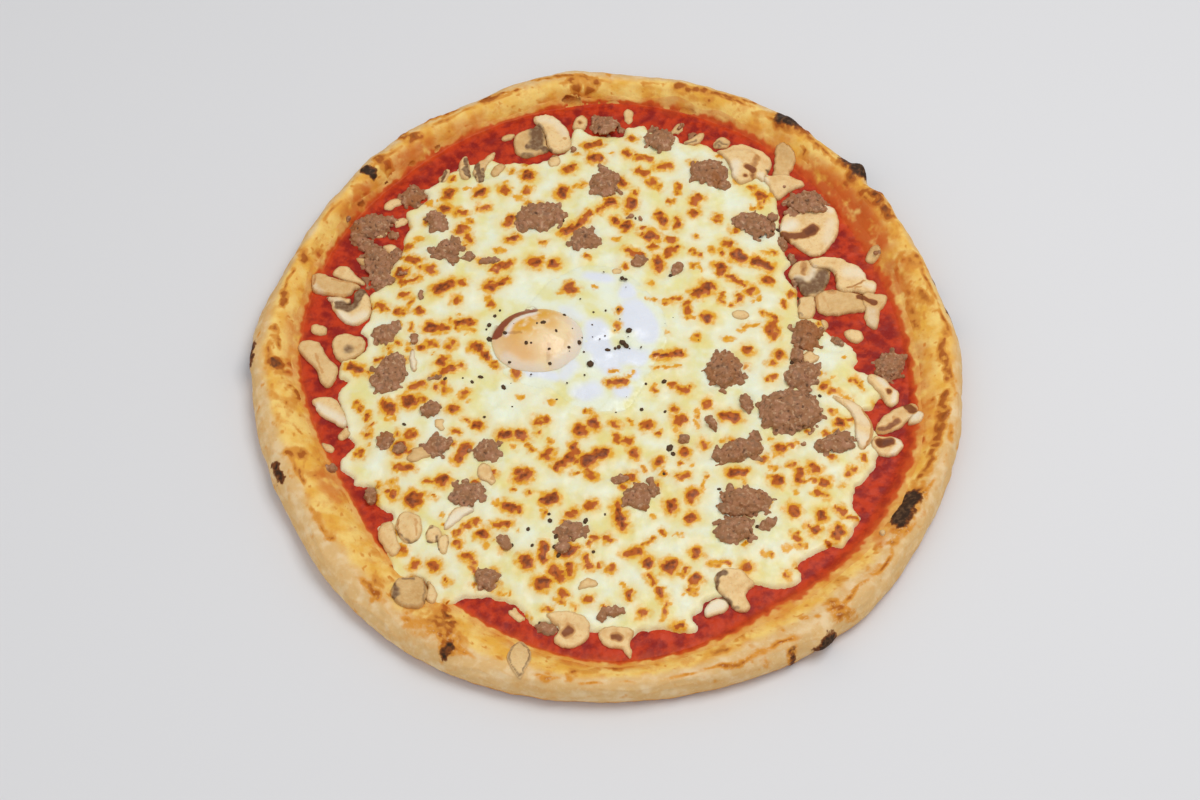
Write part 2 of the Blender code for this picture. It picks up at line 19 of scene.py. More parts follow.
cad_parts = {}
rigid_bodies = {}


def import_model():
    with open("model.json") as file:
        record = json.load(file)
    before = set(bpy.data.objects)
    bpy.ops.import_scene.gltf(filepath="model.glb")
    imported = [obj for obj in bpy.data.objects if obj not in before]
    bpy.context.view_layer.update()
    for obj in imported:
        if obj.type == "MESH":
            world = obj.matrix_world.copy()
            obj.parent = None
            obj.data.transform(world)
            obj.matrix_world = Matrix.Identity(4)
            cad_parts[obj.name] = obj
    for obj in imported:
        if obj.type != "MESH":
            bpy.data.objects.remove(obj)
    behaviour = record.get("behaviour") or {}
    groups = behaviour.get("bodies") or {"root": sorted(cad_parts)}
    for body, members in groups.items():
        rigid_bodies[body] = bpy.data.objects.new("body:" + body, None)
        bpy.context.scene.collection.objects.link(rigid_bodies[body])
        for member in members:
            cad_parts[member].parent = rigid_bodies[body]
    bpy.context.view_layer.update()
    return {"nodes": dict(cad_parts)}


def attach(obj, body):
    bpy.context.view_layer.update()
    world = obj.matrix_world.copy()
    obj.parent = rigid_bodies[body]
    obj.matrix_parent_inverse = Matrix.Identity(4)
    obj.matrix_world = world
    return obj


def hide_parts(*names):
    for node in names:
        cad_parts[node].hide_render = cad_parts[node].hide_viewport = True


bl_info = {
    "name": "Mushroom, mince and egg pizza",
    "version": (1, 0, 0),
    "blender": (4, 5, 0),
    "location": "3D View > Sidebar > Pizza",
    "description": "Makes the crust, sauce, cheese, egg and toppings of a stone-baked pizza, and its stage",
    "category": "Object",
}

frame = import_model()

MM = 0.001
PLACE = Vector((0.27 * MM, -2.14 * MM, 0))
SEED = 7

# Crust. Each list goes evenly round the pizza from +X.
OUTLINE_RADII = (
    146.5, 145, 145, 147.5, 151.5, 153, 153.5, 152.5, 148.5, 145.5, 143, 144,
    146.5, 144.5, 144.5, 147, 150, 150, 148.5, 148.5, 149.5, 149.5, 147, 146.5)
RIM_WIDTHS = (
    23, 21.5, 20, 18.5, 17, 15.5, 15, 16.5, 15.5, 15, 13, 15.5,
    20, 22.5, 26, 25.5, 27.5, 22.5, 16, 18, 24, 24, 22, 21)
RIM_HEIGHTS = (14.5, 15, 14.5, 14, 13.5, 14, 14.5, 14, 13.5, 13, 14, 14.5)
RIM_CRESTS = (0.3, 0.4, 0.6, 0.5, 0.5, 0.4, 0.28, 0.3)
SECTION_CREST = 0.43
FLOOR = 4.0
RIM_FOOT_INSET = 0.42
RIM_FLOURED = (0.6, 0.4, 0.35, 0.5, 0.55, 0.45, 0.45, 0.6, 0.8, 0.85, 1.0, 0.95)
RIM_LUMP, RIM_LUMP_LENGTH = 1.6, 24
FOLD_HEIGHT, FOLD_SPACING = 0.22, 2.6
MEAN_RADIUS = 145
RIDGE_BROWNING = 0.55
CRUST_STEPS, CRUST_ROWS = 840, 66
RIM_SECTION = (
    (1.12, 0.0), (1.00, 0.13), (0.87, 0.36), (0.73, 0.62), (0.58, 0.84), (0.43, 0.98), (0.29, 0.99),
    (0.16, 0.84), (0.06, 0.57), (0.0, 0.22), (0.03, -0.08), (0.13, -0.28))

# Blisters: angle, shares of the rim's width in and of its height, size and rise.
BLISTERS = (
    (43.5, .04, .6, 6.5, 5), (59, .35, .9, 6, 1.8), (36.5, .3, .9, 9, 2), (22, .45, .9, 10, 1.6),
    (332, .5, .9, 8, 1.5), (305, 0, .3, 7, 3.6), (246, .45, .9, 11, 2.4), (182, .15, .7, 9, 2.2),
    (137, .4, .9, 8, 1.6), (98, .3, .9, 10, 1.5))

# Strokes of colour are width, strength and points.
CRUST_CHAR = (
    (11, 1, (104, 107), (108, 102)), (6, 1, (73, 127), (77, 125)), (4, .5, (80, 122)),
    (6.5, .95, (116.5, -71), (122.5, -60)), (5, 1, (84, -129), (89.5, -122)),
    (4, .9, (-107, 90), (-104, 89)), (3, .7, (141, 31), (143, 25)), (2.5, .7, (136, 47), (139, 43)),
    (3.5, .65, (-58, -135), (-56, -133)), (3, .6, (-146, 3), (-146, -7)), (3, .6, (-131, -55), (-127, -62)),
    (4, .55, (-135.5, -9)), (3.5, .5, (74, -129)))
CRUST_BROWN = (
    (6, .85, (108, 87), (113, 84)), (5, .9, (112, 84), (118, 76)), (6, .8, (102, 95), (106, 99)),
    (4, .55, (97, 104), (101, 99)), (7, .75, (74, 125), (83, 121)), (3, .5, (84, 120), (91, 108)),
    (4, .8, (-58, 132), (-54, 134)), (1.6, .75, (-60, 131), (-53, 134), (-43, 138)),
    (2.2, .5, (-37, 143), (-27, 145.5), (-10, 146)), (4, .7, (-18, 142), (-17, 136)),
    (4, .65, (-10, 144), (-12, 139)), (2.5, .7, (27, 143.5), (38, 141), (47, 138.5), (50, 137)),
    (2.5, .5, (50, 137), (61, 136)), (2.5, .35, (22, 152)), (3, .35, (-4, 149)),
    (5, .8, (-93, 110), (-87, 109)), (3, .6, (-82, 119), (-70, 126)), (5, .85, (-102, 96), (-95, 92)),
    (3.5, .6, (-98, 86), (-94, 85)), (4, .6, (-130, 48), (-129, 44)), (4.5, .65, (-123, 48)),
    (3, .7, (-135, 25), (-134.5, 20)), (3.5, .75, (-137, 8)), (3, .5, (-137, 4), (-134, -2)),
    (6, .75, (-136, -8), (-133, -10)), (4.5, .75, (-129, -7), (-126, -8)),
    (3, .6, (-128, -18), (-125, -22)), (5, .75, (-120, -51)), (5, .6, (-125, -51)), (2, .4, (-122, -30)),
    (3, .3, (-107, -88), (-104, -87)), (4, .75, (-86, -105)), (5, .75, (-86, -111)), (8, .45, (-86, -107)),
    (3, .8, (-60, -112), (-58, -119)), (5, .8, (-55, -123)), (5, .7, (-57, -128), (-57, -135)),
    (10, .5, (-62, -120), (-55, -130)), (14, .35, (-66, -124)), (4, .6, (-10, -142)), (4, .65, (7, -137)),
    (3, .4, (22, -135)), (3, .45, (30, -129)), (5, .65, (54, -122)), (4, .5, (45, -130), (48, -128)),
    (5, .45, (68, -126)), (4, .6, (74, -129)), (4, .3, (64, -133)), (3, .4, (78, -115)),
    (3.5, .45, (83, -114)), (6, .6, (89, -110), (92, -112)), (4, .5, (96, -112)),
    (5, .3, (103, -96), (107, -92)), (3, .5, (120, -75)), (9, .5, (117, -74), (123, -57)),
    (3.5, .7, (137.5, 12), (138.5, -5)), (4, .75, (138, -12), (136, -24), (133, -36)),
    (4, .6, (131, -40), (129, -46), (127, -52)), (4, .55, (139, 16)), (7, .45, (124, 53), (129, 50)),
    (4, .6, (128, 54)), (9, .35, (120, 47)), (6, .5, (130, 38), (133, 33)), (4, .5, (125, 40), (128, 22)),
    (3, .3, (122, 68)), (3, .3, (147, 0)), (2.5, .5, (113, -82), (116, -77)))
CRUST_STAIN = (
    (16, .75, (-105, 79), (-108, 72)), (16, .7, (-92, 100), (-84, 108)), (12, .5, (-70, 112), (-60, 120)),
    (12, .7, (118, 18), (119, 50)), (10, .5, (127, 10), (127, -30)), (9, .6, (-121, 42), (-118, 48)),
    (10, .6, (-109, -58), (-106, -66)), (9, .5, (-129, 14), (-126, -10)), (8, .5, (110, 60), (112, 54)),
    (8, .5, (112, -60), (108, -78)), (9, .4, (60, 122), (72, 116)), (7, .4, (-30, 133), (-10, 136)),
    (17, .95, (84, 98), (97, 88), (106, 76), (111, 64)))

# Tomato sauce
SAUCE_TOP = 6.0
SAUCE_STEPS, SAUCE_ROWS, SAUCE_EDGE_ROWS = 960, 46, 26
SAUCE_INNER = 80
SAUCE_BASE = 4.35
SAUCE_CLIMB = (2.6, 4.6, 3.2, 2.4, 2.2, 3.0, 3.0, 2.2, 2.6, 2.6, 4.0, 4.4)
SAUCE_SPREAD = (1.5, 0, 0, 0, 0, 0, 0, 0, 0, 0, 1.8, 3.6)
SAUCE_FILM, SAUCE_FILM_DIP = 0.55, 0.35
NEAR_SAUCE = 0.7

# Melted cheese. Its edge is a closed line of points.
CHEESE_EDGE = (
    (103, 7), (103, 11), (100, 14), (96, 16.5), (93, 18), (91, 21), (90, 25), (86, 27), (80, 27), (79, 33),
    (79, 40), (76, 45), (74, 50), (77, 55), (74, 60), (73, 64), (72, 70), (72, 78), (71, 84), (72, 90),
    (78, 94), (76, 99), (70, 100), (66, 104), (62, 112), (54, 114), (47, 112), (42, 115), (38, 117),
    (33, 116), (29, 117), (27, 121), (20, 120), (16, 122), (13, 126), (9, 125), (5, 124), (3, 120),
    (-4, 119), (-11, 120), (-15, 124), (-18, 124), (-19, 118), (-21, 110), (-28, 106), (-36, 102.5),
    (-43, 103.5), (-48, 101.5), (-53, 104), (-58, 101), (-64, 101), (-69, 98), (-73, 94), (-78, 89),
    (-82, 86), (-80, 82), (-84, 77), (-88, 74), (-87, 66), (-88, 60), (-89, 52), (-92, 46), (-94, 40),
    (-96, 34), (-101, 31), (-100, 26), (-99, 20), (-101, 16), (-103, 12), (-100, 9), (-100, 4), (-103, 0),
    (-109, -2), (-110, -6), (-110, -11), (-106, -12), (-107, -14), (-109, -18), (-108.5, -22), (-107, -27),
    (-105, -32), (-104, -37), (-101, -40), (-101, -43), (-104, -47), (-106, -50), (-104, -55), (-100, -57),
    (-98, -61), (-91, -62), (-90, -68), (-87, -71), (-83, -73), (-84, -77), (-88, -79), (-87, -84),
    (-84, -89), (-82, -94), (-82, -99), (-79, -103), (-70, -101), (-66, -106), (-66, -112), (-61, -113),
    (-56, -110.5), (-50, -108.5), (-44, -108), (-38, -109), (-33, -110.5), (-30, -113), (-28, -116),
    (-25, -119), (-19, -118), (-15, -120), (-9, -120), (-5, -121), (2, -121), (8, -122), (12, -124),
    (14, -122), (17, -120), (22, -119.5), (28, -119), (33, -120), (38, -119), (38, -116), (36, -113.5),
    (39, -111), (41, -107), (47, -104), (52, -103), (56, -100), (60, -98.5), (64, -99), (69, -100),
    (75, -98.5), (77.5, -96), (78, -93), (77, -90), (78, -88), (81, -86), (87, -82), (90, -80.5), (94, -81),
    (97, -78), (99, -75), (100, -72), (102, -70), (102.5, -67), (100.5, -64), (99.5, -61), (100, -57),
    (101, -54), (104, -51), (107, -47), (109, -44), (109.5, -40), (111, -37), (112, -33), (110, -28),
    (108, -24), (106.5, -20), (105, -18.5), (108, -17), (110, -14), (112, -11), (115, -12), (117, -8),
    (114, -3), (110, -.5), (105, 1), (102.5, 3))
CHEESE_BASE, CHEESE_THICKNESS = 6.35, 2.9
CHEESE_RELIEF, CHEESE_RELIEF_LENGTH = 0.9, 15
CHEESE_CELL = 0.67
CHEESE_EDGE_ROUND = 2.6
CHEESE_THINNER, CHEESE_THINNER_REACH = 1.2, 13
CHEESE_TUCK, CHEESE_SINK = 1.2, 1.4

# Toasted flecks: x, y, length, width, turn and strength.
FLECKS = (
    (-32, 48.5, 6, 5, 0, .9), (-24, 48.5, 5, 4, 0, .8), (-46, 46, 10, 3.5, 25, .75),
    (-50, 36, 6, 5, 30, .8), (-45, 38.5, 6, 3, 30, .75), (-50, 28, 7, 2.5, -60, .5),
    (-16.5, 36, 6.5, 5, -70, .8), (-20, 34, 4, 2.5, 10, .4), (-6, 37, 2.5, 2.5, 0, .35),
    (17, 40, 3, 2, 0, .4), (37, 36, 6, 4.5, 20, .9), (41, 38.5, 6, 5.5, 0, .95), (47, 49, 4, 5.5, 0, .8),
    (32.5, 28, 3, 8, 5, .6), (34, 23.5, 5, 2, 0, .45), (41, 23.5, 5.5, 4, 0, .8),
    (25, 31.5, 7, 2.5, 20, .5), (29, 33.5, 4, 2, 30, .4), (17, 32, 6, 1.4, -10, .35),
    (4, 25, 2.6, 4, 0, .5), (3.5, 17.5, 2.5, 4.5, 15, .5), (36.5, 13.5, 4, 5, -40, .45),
    (50, 13.5, 6, 3, 0, .35), (24.5, 15.5, 2, 1.6, 0, .3), (28, 5.2, 6, 3, 15, .85),
    (22.5, 4, 7, 1.8, 2, 1), (3, -4.5, 5, 2, 0, .4), (4, -10, 9, 2.8, 8, .75), (10, -6, 4, 2, 60, .35),
    (19.5, -12, 3, 4, 20, .5), (27, -10, 4.5, 3, 0, .55), (31, -12, 6, 3.5, -25, .65),
    (41, -18.5, 4, 4.5, 0, .65), (50.5, -24, 9, 4.5, -5, .8), (28, -22, 4, 4, 0, .6),
    (30, -27, 5.5, 4.5, 60, .75), (37, -23, 2, 5, 0, .4), (37, -28, 2, 5, 15, .4),
    (17, -29.5, 6, 4.5, 0, .7), (4, -30, 5, 3.5, -35, .6), (10, -28, 2.5, 4.5, 10, .45),
    (5, -36, 3.5, 6, 20, .55), (9.5, -37.5, 5, 3.5, -20, .65), (12, -43, 3.5, 5.5, 20, .65),
    (22, -46.5, 3.5, 5, -30, .7), (32, -41.5, 4.5, 4, 0, .85), (40, -37, 4, 4.5, 20, .65),
    (-10, -33, 6.5, 6, 0, .85), (-4.5, -29.5, 4, 6, 25, .8), (-7, -24, 4, 3, -40, .5),
    (-26, -29.5, 7, 4, 10, .65), (-22, -20, 4, 4, 0, .35), (-35, -18.5, 4, 3.5, 0, .35),
    (-37, -6.5, 4, 5.5, 10, .65), (-46, -3.5, 4.5, 3, -40, .55), (-54, 5.5, 5, 4, -20, .9),
    (-50.5, 1.5, 8, 2.2, -52, .85), (-51.5, -32, 5, 4.5, 0, .8), (-40, -36.5, 7, 4.3, 0, .9),
    (-34, -36, 5, 4.4, 0, .85), (-22, -38, 4, 3, 0, .4), (-30, -41.5, 6, 2.4, -50, .5),
    (-23, -45, 6, 6, 0, .6), (-22, -43.5, 3.5, 3.5, 0, .75), (-12, -42, 3.2, 7, 15, .7),
    (-16, -48, 11, 3.8, 45, .8), (-6.5, -47, 7, 5.5, 25, 1), (-1.5, -43.5, 7, 4.6, 25, 1),
    (-32, -54.5, 8, 6.5, 0, .8), (-5, -53.5, 7, 5, -30, .55), (10, -53.5, 5.5, 3.2, 0, .8),
    (24, -52, 3, 2, 0, .5), (31.5, -52.5, 6.5, 3, 25, .6), (53, -50.5, 9, 3.5, 8, .8),
    (8, -58, 3, 3.5, 0, .6), (7.5, 117, 4.4, 4.2, 0, .6), (-9.5, 112.5, 9, 3.6, 25, .8),
    (-8, 105, 7, 4.6, 0, .8), (6, 108.5, 4.5, 3.8, -30, .75), (13, 106, 9, 2.8, -4, .55),
    (22, 102, 7.5, 3.2, 5, .65), (-19, 99, 7.5, 4, 32, .7), (-37, 94.5, 4.8, 6.5, 0, .95),
    (-44, 97, 3, 4, -40, .5), (-37, 86, 3.5, 5, -35, .6), (-47, 86, 4.4, 6, 25, .7),
    (-22, 86, 4.4, 7, -28, .85), (-16, 90, 3.4, 2, 0, .4), (3, 93, 7.5, 2.8, -52, .85),
    (12, 98.5, 7, 3.6, -30, .65), (16.5, 93, 6, 6, 0, .55), (20, 91, 3, 4, 0, .5),
    (28, 90, 3.6, 8, -10, .5), (25, 83, 4.5, 3, 30, .5), (36, 84, 3.6, 7, -32, .75),
    (35, 77, 4, 4.5, 0, .75), (45, 75, 4, 6, -10, .55), (8, 81, 4.6, 6.4, -20, .85),
    (-1, 81, 5.6, 4.6, 20, .85), (-5, 77.5, 5, 3, 55, .6), (1.5, 72, 5, 2.6, -55, .85),
    (6, 69, 5, 4.4, 0, .9), (21, 74, 3.6, 8, 28, .8), (28, 72, 3.4, 6, 0, .7), (17, 64.5, 6, 5, 0, .9),
    (25, 63, 5, 3.6, 0, .7), (36, 65, 3, 3, 0, .45), (18, 58.5, 5.5, 3, 20, .5), (25.5, 57, 7, 3.6, 45, .8),
    (9.5, 55, 8.5, 3.2, -22, .75), (36, 56, 6.5, 3, -35, .55), (43, 58, 2.6, 4, 0, .5),
    (49.5, 61.5, 5.5, 4.2, -35, .7), (54, 55.5, 7, 5, -40, .95), (53, 69, 4, 3.6, 0, .6),
    (-13, 71, 12, 2.8, 52, .75), (-18.5, 66, 8.5, 4.2, 40, .8), (-42, 60.5, 6.5, 2.8, 25, .8),
    (-29, 59, 4, 2, 0, .5), (-44, 70, 3.2, 7, -25, .7), (2, 62.5, 4, 3, 0, .4), (-10, 52, 4, 3, -30, .5),
    (6, 48, 3, 3, 0, .6), (20, 50.5, 4, 7, 10, .85), (35, 50, 4, 4, 0, .45), (-41, 82, 5, 3, 0, .35),
    (-71, 83, 4.4, 6.6, -15, .85), (-72, 75, 5, 3.8, -10, .9), (-65, 73.5, 7, 2.8, -20, .65),
    (-57, 84, 6.5, 3.6, 42, .9), (-63, 86, 3, 3, 0, .4), (-79, 78, 5, 3, 30, .35),
    (-55, 76.5, 6, 2.4, 8, .6), (-64, 64.5, 6, 4.4, 40, .75), (-61, 60.5, 3, 6.5, 15, .65),
    (-61, 69, 3, 4, 0, .5), (-82, 59.5, 5, 3, 10, .4), (-86, 55, 5, 3.4, 40, .55),
    (-83.5, 48, 7.5, 3.6, -14, .7), (-76, 43.5, 4.6, 6, 20, .65), (-47, 54, 6, 3, 0, .4),
    (-88.5, 41.5, 3.8, 5.5, 0, .85), (-87.5, 37, 2.6, 5, 0, .5), (-83, 38, 8, 2, 28, .65),
    (-85.5, 30, 4.6, 2.6, 0, .65), (-69.5, 34.5, 11, 4.6, 35, .9), (-64, 28, 3.2, 4.2, 0, .75),
    (-62, 37, 4, 3.4, 0, .6), (-95, 24, 7, 3.6, -32, .6), (-87, 21.5, 6, 3.4, -18, .65),
    (-83, 26, 5, 2.4, 62, .5), (-79, 21.5, 4.6, 3.6, 20, .65), (-73.5, 14, 6, 4.6, 0, .88),
    (-68, 14.2, 5, 4, 0, .8), (-60, 17, 7, 4.2, 12, .88), (-57, 13, 5, 3, 0, .35), (-82, 13, 3, 4.4, 0, .5),
    (-65, 5.5, 3.6, 5.6, -30, .7), (-73, 6, 7, 4.6, 0, .5), (-77, 4, 4, 3, 0, .65),
    (-82, 4, 2.4, 6, 0, .35), (-68, -2.5, 3.6, 6.4, -35, .78), (-65.5, -6.5, 7, 2.6, 28, .85),
    (-61, -4.5, 5, 2, 20, .6), (-70, -9.5, 4, 2.4, 0, .5), (-77, -14.5, 7, 3, 28, .7),
    (-66, -15, 2.4, 7, 20, .6), (-58, -17.5, 3.6, 6, -35, .45), (-103.5, -6.5, 7.5, 3.6, -15, .85),
    (-98, -8.5, 6, 2.4, -28, .5), (-88, -25.5, 7, 4.8, -30, .9), (-80, -22, 6.2, 5.6, 0, 1),
    (-75, -21.5, 4.6, 4, 0, .6), (-100, -25, 3.4, 6, 30, .55), (-61.5, -25, 4.4, 4, 0, .88),
    (-78, -38, 4.4, 5.4, -30, .65), (-87, -30.5, 5, 2.4, 0, .4), (-81.5, -44, 5.6, 7, 0, .95),
    (-60, -36, 3.4, 2.4, 0, .65), (-57, -45, 3, 11, -25, .75), (-98, -46.5, 4, 4, 0, .65),
    (-80, -53, 8, 3.6, 0, .75), (-83, -65, 3, 5.2, 0, .78), (-75, -67, 7.5, 7, 40, .92),
    (-64, -58.5, 6.5, 4.4, 35, .85), (-69.5, -59, 4.4, 2, 0, .55), (-72.5, -95.5, 5, 3, 50, .7),
    (-65, -96, 5, 4, 0, .8), (-78, -89.5, 5.4, 4.2, 0, .6), (-56.5, -86, 4.4, 4, 0, .6),
    (-52, -92, 6, 4, 0, .65), (-49.5, -96, 3.6, 6, 20, .45), (-51, -77, 7, 3.4, 30, .6),
    (-56, -80.5, 6, 3, 40, .55), (-46.5, -81.5, 5, 4.6, 0, .85), (-39.5, -77, 8, 2.8, 8, .7),
    (-45, -87, 3, 3, 0, .3), (-36, -69.5, 9, 3.4, -15, .78), (-42, -68, 3, 4, 0, .35),
    (-21, -65, 7.5, 4.4, 20, .95), (-12, -71, 5.4, 4, 35, .68), (-5, -67.5, 6, 4, 18, .72),
    (-23, -71, 3.6, 5, 0, .4), (-22.5, -89, 3, 8.5, 0, .85), (-13.5, -88, 8, 4.6, 25, .92),
    (-17, -97.5, 8.5, 4.4, -42, .75), (-12, -96, 3, 6, 0, .85), (-22, -102, 7.4, 5, 15, .86),
    (-29, -93, 4.6, 6.6, 25, .92), (-14, -106.5, 5, 4, 60, .65), (-15, -109.5, 6, 2, -10, .45),
    (-4.5, -108.5, 4.2, 3.6, 0, .62), (4, -95, 3.8, 5.4, -25, .5), (-5, -92.5, 2.2, 6.4, 18, .7),
    (6, -68, 3, 7, 0, .8), (7.5, -74, 4, 8, 20, .92), (-2.5, -82, 4, 3, 0, .62), (3, -82.3, 3.6, 3, 0, .62),
    (11, -88, 5, 2.6, 20, .75), (14.5, -86.5, 4, 3, 0, .8), (17.5, -83, 10, 2, 42, .5),
    (24, -78, 2.6, 3, 0, .55), (30, -79, 5, 1.8, 0, .32), (27, -66, 4, 6, 5, .85),
    (35.5, -61, 4.6, 6, -35, .86), (35, -71, 3.6, 5.2, -35, .82), (40, -55.5, 1.8, 5, 0, .35),
    (18.5, -92, 4.4, 4.2, 0, .9), (27, -93, 6, 6.4, -20, .86), (32, -96, 4, 3.4, 0, .45),
    (37, -98, 3.8, 5.4, -30, .7), (37, -86.5, 3.8, 5, -40, .78), (36, -103, 6, 4, 0, .42),
    (20, -99, 2.2, 7, 25, .62), (23.5, -105, 3, 5, 22, .68), (11.5, -106, 3, 5, 5, .72),
    (9, -101.5, 2, 3.4, 30, .35), (17, -113, 4.4, 3.4, 30, .62), (25.5, -112, 3, 9, -15, .45),
    (46, -91, 10, 2.6, 0, .48), (30.5, -118, 4, 1.8, 0, .8), (-20, -112.5, 4.4, 2, 0, .5),
    (60, 92, 4.4, 4, 20, .5), (64, 88, 5, 6, 20, .78), (63.5, 82.5, 3, 4, 0, .55),
    (64, 52.5, 10, 3.8, -25, .92), (69, 58.5, 4, 3, 0, .5), (65.5, 58, 5, 2, 0, .35),
    (47, 48, 4.2, 5.4, 0, .8), (53, 43, 9, 2.2, -32, .72), (66.5, 44, 5.4, 4.4, 0, .78),
    (59, 38, 4.6, 4, 0, .78), (47, 34, 2.6, 6.4, 0, .62), (54.5, 34.5, 2.6, 4.6, 0, .7),
    (76, 37.5, 4.4, 4, 30, .62), (73, 32.5, 2.6, 4.4, -30, .6), (68, 18.5, 5.6, 8.5, 5, .66),
    (69, 23.5, 3, 5, 0, .7), (66, 26, 7, 2.4, -15, .5), (59, 20.5, 8, 1.8, 15, .42),
    (55, 17.5, 3.4, 2, 0, .32), (57.5, 8, 4.6, 4.2, 0, .8), (70.5, 6.5, 3.8, 5.4, -20, .72),
    (68, 2, 4, 3, 0, .55), (67.5, -5, 5.6, 2.6, 20, .62), (71, -38, 5, 4, 0, .82),
    (75.5, -36, 5, 2, 18, .5), (67, -34, 3, 2, 0, .35), (64, -43, 4.4, 3.4, 0, .62),
    (69, -41, 3, 2.2, 0, .45), (67.5, -47, 5, 2.6, 0, .42), (75, -46, 5, 2.6, 18, .52),
    (78, -50.5, 2.8, 7.4, 0, .78), (84, -47, 5.4, 3.6, -32, .78), (88, -53, 4.6, 3.6, 0, .82),
    (69.5, -53, 4.4, 4.8, 0, .85), (82, -52.5, 6, 2, 0, .5), (99, -47, 5.6, 2.8, 42, .62),
    (104, -41, 2.6, 4.6, 0, .58), (89, -30.5, 3, 3.4, 0, .5), (95, -25, 4.2, 4.2, -30, .88),
    (99.5, -23, 5, 1.8, 10, .62), (92, -20, 4, 3, -30, .5), (89, -8, 3, 3.4, 0, .82),
    (93, -10, 6, 2.8, 0, .5), (98, -12.5, 7, 2, -28, .4), (93, -4, 3, 2, 0, .35),
    (101.5, -4, 3.4, 3, 0, .62), (104.5, -6.5, 2, 5, 0, .45), (57, -92, 4.6, 4.4, 0, .78),
    (72.5, -94.5, 3, 4, 0, .58), (56.5, -82, 3, 3, 0, .42), (65, -86, 6, 2.6, -22, .38),
    (72.5, -83, 4, 4, 0, .32), (75.5, -66.5, 4.4, 6, 22, .78), (86.5, -68, 3, 4.6, 0, .95),
    (94.5, -65.5, 3.4, 4.4, 20, .72), (99, -68, 4.4, 2, 0, .58), (84, -74.5, 4.2, 3.8, 0, .78),
    (93, -75, 4.6, 6.4, -25, .82), (76.5, -78, 3.8, 4.8, -30, .58), (86.5, -58.5, 7, 2.4, -18, .62),
    (26, -1, 9, 1.4, 10, .42), (20, -2, 3, 1.6, 0, .4), (98, 7, 2.6, 2, 0, .32))
FLECK_HALO = 3.4
FLECK_REACH_FROM_EGG = 46
BUTTERY_REACH = 6.5

# Egg
WHITE_MIDDLE = (-9, 9)
WHITE_RADII = (33, 36, 39, 40, 34, 31, 42, 36, 28, 32, 36, 30)
WHITE_THICKNESS = 0.9
WHITE_PATCHES = (
    (14, 1, (11, 24), (17, 17)), (8, .9, (8, 34), (8, 40)), (9, .9, (-8, 44), (-2, 42)),
    (11, .9, (-5, 15), (-4, 6), (1, -1)), (9, .85, (6, 3), (14, 2)), (10, .75, (-6, -14), (-13, -19)),
    (9, .85, (7, -15), (15, -19)), (8, .7, (12, -6), (16, -8)), (9, .6, (-37, 35), (-34, 38)),
    (7, .7, (-32, -6), (-22, -8)), (7, .6, (-14, -2), (-18, -8)), (8, .5, (-18, 24), (-12, 20)))
YOLK_MIDDLE, YOLK_TURN = (-29, 9), 8
YOLK_LENGTH, YOLK_WIDTH, YOLK_RISE = 38, 31, 6.4
YOLK_GOLD = (
    (12, 1, (-36, 13), (-33, 18), (-28, 21)), (9, .7, (-37, 17), (-33, 11)), (7, .6, (-26, 18), (-24, 15)))
YOLK_ORANGE = (
    (9, .9, (-41, 7), (-38, 3), (-34, 0)), (6, .4, (-30, 0), (-24, 2)))
YOLK_SCORCH = (
    (4.6, 1, (-46, 10), (-44.5, 14.5), (-41, 18.6), (-36.5, 21.4), (-32, 22.8)),
    (1.8, .4, (-42, 9.5), (-36, 9)), (1.8, .35, (-24, 4), (-24.5, -3)))
# Pale strokes on the yolk: its white film, and along the raised upper-left edge a painted highlight line.
YOLK_FILM_AND_HIGHLIGHT = (
    (2.4, 1, (-42, 9), (-40, 14.5), (-36, 18), (-31, 19.6)), (4, .6, (-42, -1), (-36, -5), (-27, -6)),
    (6, .75, (-20, -4), (-13, 2), (-11, 10), (-14, 18)))

# Mince clumps: how strongly each is roasted. The solids give their places and forms.
MINCE_ROAST = {
    "mince_three_roasted": 0.8, "mince_five_upper": 0.35, "mince_below_egg": 0.4, "mince_eight_inner": 0.2,
    "mince_ten_thirty": 0.35, "mince_one_oclock": 0.2, "mince_four_oclock": 0.2, "mince_right_of_egg": 0.5}
MINCE_VOXEL = 0.42
MINCE_SEAT = 1.2
ROAST_STROKES = (
    (9, .8, (80, 24), (86, 15)), (5, .9, (83, 9), (88, 9)), (4, .8, (44, 96), (45, 93)),
    (6, .6, (48, -51), (62, -49)), (5, .7, (58, -50), (64, -52)), (4, .7, (17, -69), (20, -72)),
    (4, .7, (-110, 64), (-108, 63)), (4, .8, (-88, 79), (-84, 81)), (5, .7, (-92, -42), (-88, -38)))

